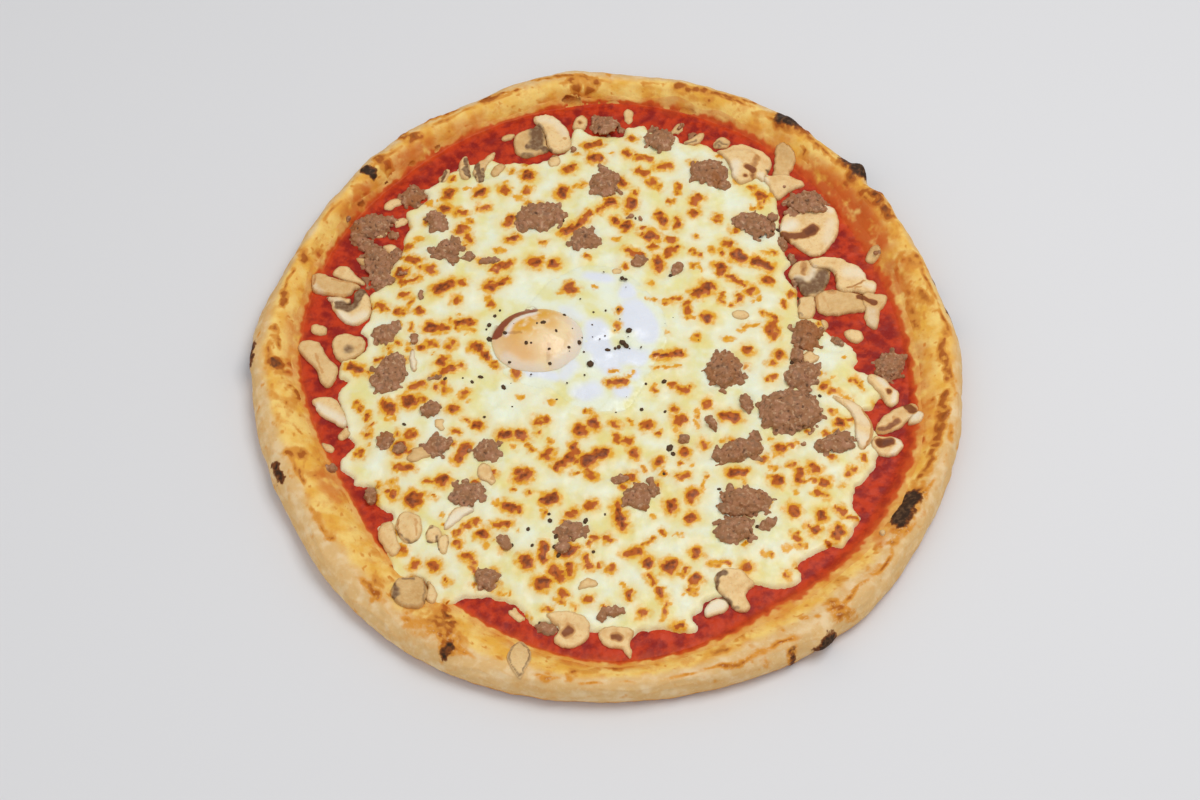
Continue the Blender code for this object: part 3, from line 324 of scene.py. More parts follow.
# Loose crumbs of mince: x, y, length, width and turn.
MINCE_CRUMBS = (
    (-71, -26, 10, 8, 30), (-88, -41, 10, 8, 70), (-38, -85, 9, 6, -45), (-51, 48.5, 11, 4, 8),
    (28, 48, 8, 6, 60), (57, -18, 6, 10, 20), (43, -28, 4, 10, 25), (32, -35, 7, 5, 35), (12, 51, 9, 7, 40),
    (65.5, -73, 9, 6, 30), (-92, -65, 6, 9, 10), (5, -113, 12, 5, 5), (1, -115, 5, 5, 0),
    (-20, -120, 10, 6, -10), (-88, 82, 10, 5, 45), (95, 15, 7, 5, -40), (14, -60, 7, 5, 10),
    (19, -56, 4, 6, 20), (8, 74, 5, 3, 20), (12, 73, 4, 3, -30), (-109, -54, 7, 5, 50), (34, 122, 6, 4, 40),
    (29, 126, 3, 7, -35), (16, 123, 4, 8, -60), (-26, 107, 5, 4, 30), (-18, 110, 3, 5, 0),
    (-66, 48, 6, 5, 0), (-60, 50, 7, 5, 10), (80, -36, 4, 3, 0), (-58, -66, 5, 4, 20), (-80, 8, 4, 7, 0),
    (-79, 30, 3, 7, 0), (-70, -11, 7, 3, 10), (-68, -38, 5, 4, 20), (78, 44, 3, 5, 10), (74, 94, 3, 3, 0),
    (113, 60, 5, 4, 0), (47, -12, 5, 3, 0), (-15, 57, 5, 4, 0), (-108, 60, 8, 9, 0), (-104, 56, 8, 8, 0),
    (-93, 62, 7, 5, 0), (-91, 52, 7, 8, 0), (-98, 38, 6, 8, 0), (-95, 70, 8, 5, 0), (78, 81, 10, 8, 20),
    (86, 91, 11, 6, -10), (88, 85, 9, 8, 0), (73, 64, 5, 9, 10), (77, 57, 4, 7, 10), (56, 75.5, 8, 5, 20),
    (69, 77, 6, 6, 0), (51, -67, 14, 7, -10), (60, -62, 12, 7, 0), (78, 6, 7, 9, 10), (80, 0, 12, 6, 0),
    (56, -4.5, 5, 4, 0), (60.5, -34, 7, 6, 20), (46, -43, 8, 6, -10), (87, -37, 7, 7, 0),
    (96, -34, 10, 6, 10), (-87, -3, 7, 8, 0), (-91, -13, 10, 8, 20), (-92, 10, 9, 10, 10),
    (-82, -45, 6, 6, 0), (-67, -42, 10, 9, 20), (-43, -100, 10, 7, 10), (-16, -80, 8, 5, 0),
    (-15, -87, 7, 6, 10), (6, -55, 8, 5, 10), (14, -66, 10, 7, -20), (20, -60, 6, 6, 0),
    (-35, 73, 13, 9, 10), (-24, 75, 8, 5, 0), (-10, 60, 13, 8, 0), (-3, 93, 14, 10, 20),
    (40, 100, 14, 10, 0), (48, 92, 8, 5, 10), (-4, 127, 12, 7, 10), (21, 117, 12, 9, 10),
    (117, 5, 12, 13, 0))
CRUMB_RISE = 0.32
CRUMB_INSET, CRUMB_SPACING = 0.62, 1.35
FRAY_SPACING = 6

# Mushrooms: thickness, how tan the slice is, and its outline.
MUSHROOMS = {
    "mushroom_north_stem": (2.4, .75, (
        (-44, 117), (-41, 120), (-37, 122), (-34, 124), (-31, 120), (-30, 114), (-29, 110), (-33, 108),
        (-38, 106), (-42, 107), (-44, 111))),
    "mushroom_north_cap": (2.6, 0, (
        (-36, 128), (-32, 129.5), (-28, 129), (-24, 126), (-21, 122), (-19.5, 117), (-19, 112), (-21, 110),
        (-25, 109), (-28, 110), (-29.5, 113), (-31, 119), (-34, 123))),
    "mushroom_gill_strip_a": (1.7, .2, (
        (-67.5, 99), (-67, 103), (-65, 105.5), (-63.5, 103), (-62.5, 98), (-62, 93), (-64, 91),
        (-66.5, 94))),
    "mushroom_gill_strip_b": (1.7, .2, (
        (-61, 96), (-60, 101), (-57, 104.5), (-53, 108), (-52, 107), (-54, 102), (-56, 97), (-56, 91),
        (-58, 89), (-60, 92))),
    "mushroom_one_thirty": (1.9, 0, (
        (45, 112), (49, 114.5), (53, 117), (57, 117), (61, 115.5), (65, 113.5), (68, 110.5), (69, 107),
        (68, 103.5), (66.5, 100), (65, 96), (62, 97.5), (59, 95), (55, 93.5), (51.5, 97), (50.5, 103),
        (48, 108))),
    "mushroom_stem_strip": (1.9, .8, (
        (70.5, 115), (73, 116.5), (76, 115), (79, 111), (79, 107), (77, 103), (76, 100), (73, 99.5),
        (69.5, 100.5), (70, 105), (70.5, 110))),
    "mushroom_round_slice": (2.2, 0, (
        (92, 85.5), (95, 84.5), (97, 80), (97.5, 75), (96.5, 69.5), (94, 65), (90, 60), (86, 58.7),
        (82, 60.5), (79, 63.5), (75, 66), (72.5, 69), (72, 74), (74, 79), (79, 84), (86, 87))),
    "mushroom_large_stem": (2, .75, (
        (86.5, 37), (88, 40), (93, 41.5), (99, 41), (104, 40.5), (107.5, 37.5), (108, 33), (106, 31),
        (101, 30.2), (95, 28.7), (90, 29), (87, 31.5))),
    "mushroom_large_gills": (1.9, .45, (
        (75.5, 49), (77, 53), (80, 55.5), (84, 56), (86.5, 53.5), (90, 52.5), (93, 51), (92.5, 46),
        (90, 41), (87.5, 38), (84, 37.5), (81, 39), (80, 42), (77.5, 45))),
    "mushroom_large_cap": (2.5, 0, (
        (84, 55), (87, 57.5), (93, 58.3), (98.5, 57.5), (100.5, 55.5), (104, 54.5), (107.5, 51),
        (109, 47.5), (111.5, 46.5), (112.5, 44), (111.5, 41), (108, 40), (103, 41), (99, 40), (96, 42),
        (95.5, 46), (94.5, 50), (92, 52), (88, 51.5), (85.5, 52.5))),
    "mushroom_petal_east": (1.7, .3, (
        (109.5, -26), (112, -21.5), (116, -17.5), (120, -15), (124, -13.5), (126.5, -15), (126.5, -18.5),
        (123.5, -21), (121, -24), (117, -26.5), (113, -28), (110.5, -28))),
    "mushroom_ring_east": (1.7, 0, (
        (109, -31), (112, -29.5), (116, -29.3), (119.5, -30.5), (120.5, -33), (119.5, -36), (116, -38.3),
        (112, -38.5), (109, -37), (107.5, -34))),
    "mushroom_lobe_east": (1.6, 0, (
        (108, -.5), (112, -.8), (115, -2.5), (116.5, -5.5), (119.5, -7.5), (120.2, -10.5), (118.5, -13.8),
        (115.5, -15), (113, -11.5), (110, -8), (107, -4))),
    "mushroom_crescent_east": (1.7, 0, (
        (92, -13), (98, -14), (103, -16), (106.5, -20), (108.5, -25), (108.3, -30), (106.5, -34.5),
        (103, -37), (101, -31), (101, -25), (99, -19))),
    "mushroom_left_slab": (2.2, .75, (
        (-125, 38.5), (-122, 40.5), (-117, 39), (-112, 37.5), (-106, 36), (-104.5, 34), (-107, 33),
        (-108.5, 30.5), (-112, 29), (-117, 29.8), (-121, 30.5), (-124, 31.5), (-125, 35))),
    "mushroom_left_half": (2.1, 0, (
        (-116, 26.5), (-115, 22.5), (-112.5, 19), (-109, 16.2), (-105, 15.5), (-101.5, 17.3), (-99.3, 21),
        (-99.5, 25), (-101, 30), (-103.5, 33.5), (-106.5, 32), (-107, 27), (-110, 25.5))),
    "mushroom_left_stem": (2.1, .45, (
        (-127.5, 5), (-125, 7), (-120, 6.5), (-118, 4), (-116, 0), (-113, -3.5), (-110.7, -5), (-110.5, -9),
        (-111.5, -13), (-114, -15.5), (-116.5, -13.5), (-118.5, -9), (-121, -5), (-124, -2), (-127, 1.5))),
    "mushroom_left_curl": (1.9, .35, (
        (-114, 5), (-113, 9), (-110, 10.7), (-105, 10.3), (-101.5, 9), (-100, 5), (-102, 1), (-105.5, -1.5),
        (-109, -3), (-112, -.5))),
    "mushroom_left_leaf": (1.7, .1, (
        (-119.5, -21.5), (-116, -20), (-111.5, -20.3), (-108, -24), (-105.3, -29), (-104.3, -33),
        (-106.5, -34), (-111, -31.2), (-115, -29), (-118, -25))),
    "mushroom_seven_thirty": (1.8, .1, (
        (-80, -74), (-76, -73), (-72, -75), (-70.5, -79), (-71, -84), (-74, -87), (-78, -85.5),
        (-80.5, -81))),
    "mushroom_roasted_lump": (3.2, 1, (
        (-80, -108), (-78.5, -103.5), (-75, -101.5), (-70, -101), (-67, -105), (-66.5, -110), (-68, -115),
        (-72, -116.5), (-77, -115), (-79.5, -112))),
    "mushroom_rim_leaf": (1, .35, (
        (-30.5, -126.5), (-28, -127), (-25.5, -131), (-25.3, -136), (-27, -141), (-29, -144.5),
        (-32, -140.5), (-34.3, -135.5), (-33, -130))),
    "mushroom_south_left": (1.8, 0, (
        (-20, -115), (-14, -113.5), (-8, -114.5), (-4, -117.5), (-3.5, -122), (-6, -126), (-10.5, -128),
        (-15, -127.3), (-17, -124.5), (-15, -120.5), (-18, -118))),
    "mushroom_south_right": (1.6, 0, (
        (0, -121), (4, -119.3), (10, -119.3), (13.5, -121), (12, -125), (13, -128.5), (12.5, -131.5),
        (11, -130), (9, -127.7), (4, -127), (1, -124.5))),
    "mushroom_five_fold": (2.2, 0, (
        (44.5, -97), (47, -94), (51, -93), (55, -93.5), (57.5, -96), (60, -98.5), (57.5, -101),
        (56.5, -104), (58.3, -108), (57, -110), (53, -109.8), (50, -107), (47.5, -104.5), (45, -101.5))),
}
SLICE_CELL = 0.42
SLICE_EDGE = 0.7
SLICE_FRAY = 0.45
SLICE_SINK = 0.7
SLICE_WAVE, SLICE_DENT = 0.45, 0.25

# Broken pieces of mushroom, given in the same way.
MUSHROOM_PIECES = (
    (1.6, .1, ((65, 98), (70, 100), (76, 100.5), (81, 99), (83, 96), (79, 94), (75, 91), (72, 88), (69, 90),
        (67, 94))),
    (1.5, .6, ((107, 40), (112, 40.5), (116.5, 39), (116, 35.5), (113.5, 31), (112.7, 25), (111.5, 22.5),
        (108.3, 24.2), (107, 28), (107.5, 32), (106.5, 35))),
    (1.6, .3, ((80, 37), (85, 37.5), (86.5, 34), (86, 29), (83.5, 26), (79.5, 27.5), (79, 32))),
    (1.5, 0, ((123.5, -21), (126, -18.5), (128.5, -19), (129, -21.5), (127, -23.7), (123.5, -23.5))),
    (1.6, .1, ((-117, 41), (-115, 44.5), (-111, 45), (-108.5, 42), (-105, 38.5), (-103, 36.5), (-106, 36),
        (-112, 38))),
    (1.4, .3, ((-118.5, 29), (-112, 28.8), (-108.5, 28.5), (-108, 26), (-111, 25), (-114.5, 25.2))),
    (1.5, .05, ((-86.5, -78), (-83, -77), (-81, -81), (-79.5, -86), (-78, -89), (-81, -92), (-85, -88),
        (-87.5, -83))),
    (1.4, 0, ((-68.5, -82), (-67, -79), (-64, -80), (-62.5, -83), (-64, -86), (-68, -86))),
    (1.4, 0, ((-63.5, -84), (-60.5, -83), (-59.5, -87), (-61, -91), (-63.5, -89))),
    (1.5, 0, ((-62, -80), (-60.5, -75), (-58, -71), (-53, -69.8), (-50.5, -71.5), (-54, -74), (-57, -77),
        (-60.5, -80.5))),
    (1.5, .1, ((-67, -102.5), (-65, -103.5), (-62.5, -108.5), (-64, -112.5), (-66.5, -111), (-66.3, -106))),
    (1.5, 0, ((40.5, -111), (42, -107.5), (45, -105.2), (48.5, -105), (50, -107.5), (48.5, -110.5),
        (45, -112), (42, -113))),
    (1.3, .6, ((43.5, 115.5), (44.5, 119.5), (48, 121), (50.5, 119), (50, 116), (47.5, 115))),
    (1.3, .5, ((30, 117), (33, 119.5), (38.5, 123), (39, 120), (37, 117.5), (33, 116))),
    (1.5, .15, ((-18.5, 123), (-18, 128), (-15, 130.5), (-12.5, 128), (-13, 123.5), (-16, 121.5))),
    (1.4, 0, ((98, 20.5), (102, 22), (105.5, 20.5), (106, 17.5), (103.5, 15.5), (100, 17))),
    (1.2, .8, ((108.5, 57.5), (110, 62), (113, 63.5), (114.5, 60.5), (113.5, 57.5), (111, 56))),
    (1.4, .4, ((-123.5, 14.5), (-120, 15.2), (-117, 13.5), (-116.8, 10.8), (-119.5, 10), (-122.5, 11.3))))

# Small pieces of mushroom: x, y, length, width, turn and how tan the piece is.
BIT_THICKNESS = 0.9
MUSHROOM_BITS = (
    (28, 125, 4, 9, -35, .5), (6, 131, 4.5, 7, -10, .3), (-104.5, 47.5, 10, 3.5, -50, .75),
    (-99, 63, 6, 5, 0, 0), (-94, 55, 5.5, 4.4, 0, 0), (-91, 69, 6, 4.4, 10, .05),
    (-94.5, 78.5, 9, 5, 35, .1), (-73.5, 94, 3.6, 8, -15, .1), (-32, -114.5, 8, 3.6, -45, .05),
    (-73.5, -46.5, 11, 7, 10, .75), (-5, -102, 7, 4, 20, .2), (-79.8, -3, 3.2, 9, 5, 0),
    (-46.5, -55, 6, 10, 20, 0), (55, 26, 7, 4.6, -20, .1), (84, 5, 7, 6, 20, .1),
    (110.3, -76, 2.6, 3, 0, 0), (-105, -37, 5, 5, 0, .3), (-111, -43.5, 6, 3.6, -30, .2),
    (-51, 97, 5, 8, -20, .9), (2.5, 45, 4, 3, 0, 0), (43.5, 94.5, 4, 6, -10, .1), (90, 24, 2.6, 6, 20, 0),
    (-67, -33, 5, 6, 10, .05), (-26, 103, 5, 7, 0, 0), (-47, 117, 6, 3, 20, .6))

# Dark gills and outlines, browned spots and creases, and the palest flesh: width, strength and points.
GILL_STROKES = (
    (6, 1, (-35, 121), (-34, 116), (-34.5, 112)), (2.2, .8, (-38, 111), (-32, 110.5), (-28, 110)),
    (2.6, .6, (-40, 107), (-36, 106.5)), (6, 1, (79.5, 43.5), (82.5, 41), (87, 42), (89.5, 48)),
    (4, .8, (91, 45), (91, 50)), (2, .8, (78, 45.5), (80, 43)), (3, .5, (92, 50), (93, 44)),
    (2.4, .9, (70.8, 72), (70.8, 68.5)),
    (4.2, 1, (-112.5, 24.8), (-109, 23.5), (-106.3, 26), (-105.5, 30), (-102.5, 33)),
    (2, .6, (-103, 34), (-101, 31)), (4.4, .72, (-107, 3)),
    (1.8, 1, (-64.5, 103.5), (-64, 99), (-63.5, 95)), (2.2, 1, (-65, 97), (-63, 93.5), (-60.5, 92)),
    (2.2, 1, (-60, 101), (-58.5, 95), (-57, 89.5)), (1.4, .8, (-57, 97), (-55.5, 91)),
    (1.7, .8, (-73, 97), (-74, 93), (-74, 90)), (1.7, 1, (-70, -86), (-66.5, -87), (-64, -90)),
    (1.3, .6, (-69, -83), (-66, -78.5), (-67, -77)),
    (1.3, .65, (-80, -82), (-78, -84.5), (-74, -87), (-71, -86)),
    (1.4, .7, (-62, -82.5), (-59, -83), (-59, -91)), (1.4, .7, (-64.3, -84), (-64.3, -90)),
    (2.6, .8, (-79.5, -106), (-78, -109), (-78.5, -113)), (1.4, .6, (-76, -103), (-72, -102.5)),
    (1.3, .5, (-67.6, -102), (-67.3, -107), (-67.6, -113)), (2.8, 1, (46, -96.3), (47.6, -95.4)),
    (1.9, .8, (46.2, -97), (44.8, -100), (44.3, -104.5), (41, -107)),
    (2, .85, (46, -104.2), (49.5, -105.8), (50.6, -107.6)), (1.3, .6, (51, -108), (54, -109)),
    (1, .62, (-29.5, -127), (-26.4, -130), (-25.6, -134.5), (-27, -139), (-29, -143.5)),
    (1, .62, (-29, -143.5), (-31.7, -139.8), (-33.6, -135.4), (-32.6, -130), (-30.6, -127)),
    (2.6, .8, (67.5, 102.6)), (1.6, .6, (44, 116), (46, 118.6), (49, 117)), (2.2, .7, (46, 116)),
    (1.4, .6, (31, 116.8), (36, 118.6)), (1.8, .8, (79, 36), (79, 33)), (1.5, .5, (79, 29), (81, 28)))
SPOT_STROKES = (
    (3, .5, (62.6, 109), (61, 104)), (3.4, .85, (58.4, 102.5), (60.4, 101)),
    (2.6, .55, (60.6, 101), (60.4, 97)), (2.6, .7, (57, 97.4)),
    (2.8, .85, (105, 38), (108, 36.8), (111.5, 35.5)), (1, .5, (100, 41.6), (104, 43.5), (107.5, 46)),
    (.8, .4, (103, 42), (106, 43)), (1, .5, (95.4, 50), (95.4, 45)), (.9, .5, (92, 51.2), (94.6, 48)),
    (5, .5, (92, 46), (93, 41)), (1, .35, (87.4, 38), (87.2, 31)), (1.2, .25, (90, 37), (92, 31.5)),
    (2.6, .5, (82, 54), (81.6, 49)), (3.2, .8, (123, -14.8), (125, -18)),
    (2.8, .6, (110.8, -27), (115, -25.4), (119, -22)), (2, .4, (117, -21)),
    (3.8, .98, (110.8, -33.6), (115.5, -32)), (3, .75, (115.6, -9)),
    (4, .7, (-12.5, -122.4), (-11, -120.8)), (3, .65, (6, -123), (8, -123.6)), (2.6, .6, (-15.5, 126)),
    (1.2, .5, (-124, 38), (-124.5, 34)), (1.1, .4, (-117, 37.6), (-105, 35.2)),
    (1.2, .4, (-118, 29.8), (-109, 29.6)), (1.1, .35, (-120, 0), (-116.5, -9)),
    (1, .45, (104.6, -17.6), (108, -25), (107.2, -32), (104.6, -37)),
    (1, .5, (-80.6, -75), (-80, -80), (-79, -84)), (1, .3, (-73, -77), (-72.2, -84)),
    (5, .8, (73.5, 66), (75.5, 61)), (3.6, .8, (73, 68.4), (79, 68), (82, 68.8)),
    (5, 1, (84, 70), (86, 72)), (2, .4, (-22, 116)), (2, .3, (-44, -57), (-43, -52)))
PALE_STROKES = (
    (2.8, 1, (79, 46.6), (82, 46), (85, 47), (86, 51)), (6, .7, (101, 50), (106, 50)),
    (4, .8, (110, 31), (110, 25)), (3, .6, (108, 44), (111, 43)), (5.4, 1, (74, 72), (77, 74)),
    (3, .7, (92, 84), (94, 82)), (4, .5, (94, 76), (92, 66)), (4, .6, (-33, 127), (-26, 125), (-22, 119)),
    (4, .8, (-112, 20), (-107, 17), (-102, 20)), (3, .7, (-117, 28), (-112, 26)),
    (3.6, 1, (-117, -25), (-110, -29), (-105, -32)), (2.4, .8, (-124, 34), (-121, 30.6)),
    (5, 1, (41, -110), (47, -107.4)), (4.6, 1, (-61, -78), (-56, -74), (-51, -71)),
    (3, .9, (112, -3.4), (114, -6)), (2.2, .8, (118, -8.4), (117.4, -13)), (4.6, 1, (126, -20.5)),
    (2, .8, (117, -30.4), (119.4, -33), (116, -37.6)), (6, .8, (99, -31), (104, -33)),
    (5, .5, (100, -18), (105, -24)), (4, .8, (52, 98), (53, 104)), (3, .7, (64, 99), (66, 96)),
    (3, .9, (-79.8, -6), (-79.8, 1)))

# Pepper: x, y and size of the larger grains.
PEPPER = (
    (5, 41, 2.6), (6.5, 40.5, 2), (8.5, 15, 2.8), (6, 9, 3), (7.5, 7.5, 2.6), (4.5, 6.5, 2), (0, 5, 2.8),
    (3, 6, 1.6), (-7, -2, 3.8), (-12, 7.5, 3), (-23.5, -3.5, 2.2), (-24, 2, 1.8), (-18.5, 21, 1.8),
    (-27, 14, 2.4), (-29.5, 13.5, 1.2), (-21.5, 10.3, 2), (-33.5, 4, 2.2), (-31.5, 4, 1.4),
    (-42.5, 9.5, 2.6), (-49, 9, 2.8), (-49.5, 16, 3.2), (-47.5, 21, 2.4), (-45.5, 24, 1.6),
    (-51.5, -9, 2.6), (-55, -11.5, 1.8), (-42, -14, 3), (-16, 4, 1.8), (23.5, -8.5, 2.4), (14.5, -22, 2.2),
    (24, -23, 2), (-38, -23, 1.4), (-40, -3, 1.8), (-16, -80, 3.2), (-18, -82, 2.8), (-20.5, -75, 2.6),
    (-21, -72, 1.8), (-6.5, -74.5, 2.8), (-18, -86, 3.2), (-16.5, -90, 2.4), (26, -40, 4.2),
    (27.5, -42.5, 2.6), (-29, -79, 2), (-27, -86, 1.8), (-35, -86, 2.2), (-3, -88, 2), (24, -52, 1.8),
    (-22.5, -118, 2.6), (29, 47, 3), (25.5, 44.5, 2.8), (1, -71, 1.8), (-49, -28, 1.6), (-81, -33, 2),
    (63, 67, 3.4), (-30, 65, 2.2), (-21, 71, 2), (-66, -11, 2), (71, 71, 2.4), (61, -74, 2.2), (46, -58, 2),
    (-87.5, -17, 2.4), (70, -12, 2.2), (82, -14, 2), (87, -13, 2.2), (76, 3, 2.6), (79, 37, 2.4),
    (77, 55, 2), (-6.5, 23.5, 1.2), (16, -10, 1.6), (-31, -8, 1.2), (10, 73, 1.6))
PEPPER_STREWN = 30
PEPPER_SPREAD = 75

# Camera, in millimetres, and lights: name, place and side in metres.
VIEW_TARGET = (-2.5, -12.7, 0)
VIEW_DISTANCE, VIEW_ELEVATION, VIEW_ROLL = 900, 58.6, 2.0
LENS, SENSOR = 65.6, 36.0
FLOOR_REACH = 1.6
MAIN_LIGHT = ("main_light", (0.38, 0.1, 1.1), 0.6)
FILL_LIGHT = ("fill_light", (-0.7, -0.6, 0.8), 1.2)


def tint(red, green, blue):
    """Linear colour of a shade given as 0 to 255 on a screen."""
    shares = (c / 255 for c in (red, green, blue))
    return tuple(s / 12.92 if s < 0.04 else ((s + 0.055) / 1.055) ** 2.4 for s in shares) + (1.0,)


def shade(name, description, red, green, blue):
    """A colour that a user can change."""
    return FloatVectorProperty(name=name, description=description, subtype="COLOR", size=4, min=0, max=1,
                               default=tint(red, green, blue))


def size_of(name, description, default, most, least=0):
    """A length in millimetres that a user can change."""
    return FloatProperty(name=name, description=description, default=default * MM, min=least * MM,
                         max=most * MM, unit="LENGTH")


class CrustSettings(PropertyGroup):
    golden: shade("Oiled skin", "Colour of the oiled skin inside the crest of the rim", 238, 178, 70)
    floured: shade("Floured skin", "Colour of the dry outer wall of the rim", 228, 186, 124)
    flour: shade("Flour", "Colour of the loose flour on the rim", 240, 210, 162)
    browned: shade("Browned", "Colour of well baked patches", 176, 96, 26)
    charred: shade("Charred", "Colour of burnt blisters", 58, 38, 24)
    bubble: size_of("Bubbles", "Height of the small bubbles of the skin", 0.45, 3)


class SauceSettings(PropertyGroup):
    bright: shade("Sauce", "Colour of the sauce where it lies thin", 200, 56, 10)
    deep: shade("Deep sauce", "Colour of the sauce where it lies thick", 146, 20, 5)
    ripple: size_of("Pulp", "Height of the pulp and ripples", 0.32, 2)


class CheeseSettings(PropertyGroup):
    cream: shade("Cheese", "Colour of the melted cheese", 242, 246, 221)
    buttery: shade("Fatty cheese", "Colour of the yellower patches", 237, 229, 158)
    gold: shade("Gold", "Colour round a toasted fleck", 234, 168, 38)
    toasted: shade("Toasted", "Colour of a toasted fleck", 190, 94, 12)
    burnt: shade("Burnt", "Colour of the darkest flecks", 106, 44, 8)
    blister: size_of("Blisters", "How far a toasted blister stands up", 0.55, 2)
    strewn: IntProperty(name="Small flecks", description="How many small flecks lie between the large ones",
                        default=300, min=0, max=600)


class EggSettings(PropertyGroup):
    white: shade("White", "Colour of the set white", 232, 236, 245)
    film: shade("Film", "Colour of the film over the yolk", 248, 221, 172)
    gold: shade("Yolk", "Colour of the bare yolk", 234, 172, 54)
    orange: shade("Deep yolk", "Colour of the thick yolk at its edge", 236, 184, 118)
    scorch: shade("Scorched edge", "Colour of the scorched fold of the film", 146, 62, 20)


class MinceSettings(PropertyGroup):
    meat: shade("Mince", "Colour of the cooked mince", 164, 114, 76)
    rosy: shade("Rosy mince", "Colour of its pinker crumbs", 180, 128, 96)
    # Painted shade: dark colour laid in the hollows between crumbs and on the lowest part of each clump.
    hollow: shade("Hollows", "Colour between the crumbs", 92, 60, 38)
    roasted: shade("Roasted", "Colour of roasted mince", 164, 98, 44)
    grain: size_of("Crumb", "Radius of one crumb", 1.1, 4, 0.5)


class MushroomSettings(PropertyGroup):
    flesh: shade("Flesh", "Colour of the sliced flesh", 243, 209, 150)
    pale: shade("Pale flesh", "Colour of the palest flesh", 244, 230, 200)
    tan: shade("Stem", "Colour of stems and cooked slices", 208, 162, 98)
    gill: shade("Gills", "Colour of the gills", 122, 86, 54)
    spot: shade("Spots", "Colour of browned spots", 140, 78, 36)


class PepperSettings(PropertyGroup):
    colour: shade("Pepper", "Colour of the ground pepper", 84, 58, 36)
    grain: size_of("Grain", "Radius of a strewn grain", 0.55, 2, 0.1)


class StageSettings(PropertyGroup):
    floor: shade("Floor", "Colour of the floor", 226, 226, 228)
    key: FloatProperty(name="Main light", description="Power of the large soft light", default=5.7, min=0,
                       unit="POWER")
    fill: FloatProperty(name="Fill light", description="Power of the light opposite it", default=2.2, min=0,
                        unit="POWER")
    sky: FloatProperty(name="Surrounding light", description="Strength of the even light all round",
                       default=0.5, min=0)


def around(values, angle):
    """Value at each angle of a list that goes evenly round a circle, on a smooth closed curve through it."""
    values = np.asarray(values, float)
    count = len(values)
    place = (np.asarray(angle) / (2 * np.pi)) % 1.0 * count
    index = np.floor(place).astype(int)
    t = place - index
    a, b, c, d = (values[(index + k) % count] for k in (-1, 0, 1, 2))
    return b + 0.5 * t * (c - a + t * (2 * a - 5 * b + 4 * c - d + t * (3 * (b - c) + d - a)))


def fade(low, high, value):
    """Smooth rise from 0 at low to 1 at high. The two may be given falling."""
    t = np.clip((value - low) / (high - low), 0, 1)
    return t * t * (3 - 2 * t)


def hills(points, size, layer=0.0):
    """Smooth noise from -1 to 1 at each point, with waves of about that size."""
    places = np.asarray(points) / size + (0, 0, layer)
    return np.array([noise.noise(p) for p in places.reshape(-1, 3).tolist()]).reshape(places.shape[:-1])


def plan_hills(x, y, size, layer):
    """The same noise over the plan alone."""
    return hills(np.stack((x, y, np.zeros_like(x)), -1), size, layer)


def ragged(x, y, amount, size, layer):
    """Plan places moved a little by noise, so that what is painted there gets an uneven edge."""
    return (x + amount * plan_hills(x, y, size, layer), y + amount * plan_hills(x, y, size, layer + 31))


def distance_to(places, path):
    nearest = np.linalg.norm(places - path[0], axis=1)
    for start, end in zip(path, path[1:]):
        along = end - start
        share = np.clip((places - start) @ along / (along @ along), 0, 1)
        nearest = np.minimum(nearest, np.linalg.norm(places - start - share[:, None] * along, axis=1))
    return nearest


def painted(x, y, strokes, soft=0.45):
    """How strongly strokes colour each place, from 0 to 1."""
    places = np.stack((np.ravel(x), np.ravel(y)), 1)
    colour = np.zeros(len(places))
    for width, strength, *path in strokes:
        path = np.array(path, float) * MM
        half = width * MM / 2
        reach = half * (1 + soft)
        inside = (places > path.min(0) - reach) & (places < path.max(0) + reach)
        close = np.nonzero(inside.all(1))[0]
        if len(close):
            found = strength * fade(reach, half * (1 - soft), distance_to(places[close], path))
            colour[close] = np.maximum(colour[close], found)
    return colour.reshape(np.shape(x))


def fleck_strokes(flecks, wider=0.0, weaker=1.0):
    """Strokes for toasted flecks, a little wider and weaker for their halo."""
    strokes = []
    for x, y, length, width, turn, strength in flecks:
        if width > length:
            length, width, turn = width, length, turn + 90
        half = (length - width) / 2 + 0.01
        step = half * math.cos(math.radians(turn)), half * math.sin(math.radians(turn))
        ends = (x - step[0], y - step[1]), (x + step[0], y + step[1])
        strokes.append((width + wider, strength * weaker, *ends))
    return strokes


def strewn_flecks(count):
    """Small flecks between the large ones, few near the egg and in loose groups."""
    draw = random.Random(SEED)
    flecks = []
    while len(flecks) < count:
        x, y = draw.uniform(-120, 120), draw.uniform(-120, 120)
        near_egg = math.hypot(x - WHITE_MIDDLE[0], y - WHITE_MIDDLE[1]) < FLECK_REACH_FROM_EGG
        grouped = noise.noise((x / 17, y / 17, 4.0)) > draw.uniform(-0.35, 0.5)
        if near_egg or not grouped:
            continue
        length = draw.uniform(1.5, 3.4)
        flecks.append((x, y, length, length * draw.uniform(0.5, 0.9), draw.uniform(0, 180),
                       draw.uniform(0.3, 0.75)))
    return flecks


def smooth_path(points, count, weights):
    """Evenly spaced points on a smooth open curve through the given ones."""
    points = np.array(points, float)
    padded = np.vstack((2 * points[0] - points[1], points, 2 * points[-1] - points[-2]))
    t = np.linspace(0, len(points) - 1, count * 8)
    index = np.minimum(t.astype(int), len(points) - 2)
    t = (t - index)[:, None]
    a, b, c, d = (padded[index + k] for k in range(4))
    curve = b + 0.5 * t * (c - a + t * (2 * a - 5 * b + 4 * c - d + t * (3 * (b - c) + d - a)))
    steps = np.linalg.norm(np.diff(curve, axis=0) * weights, axis=1)
    length = np.concatenate(([0], np.cumsum(steps)))
    places = np.linspace(0, length[-1], count)
    return np.stack([np.interp(places, length, curve[:, k]) for k in range(2)], 1)


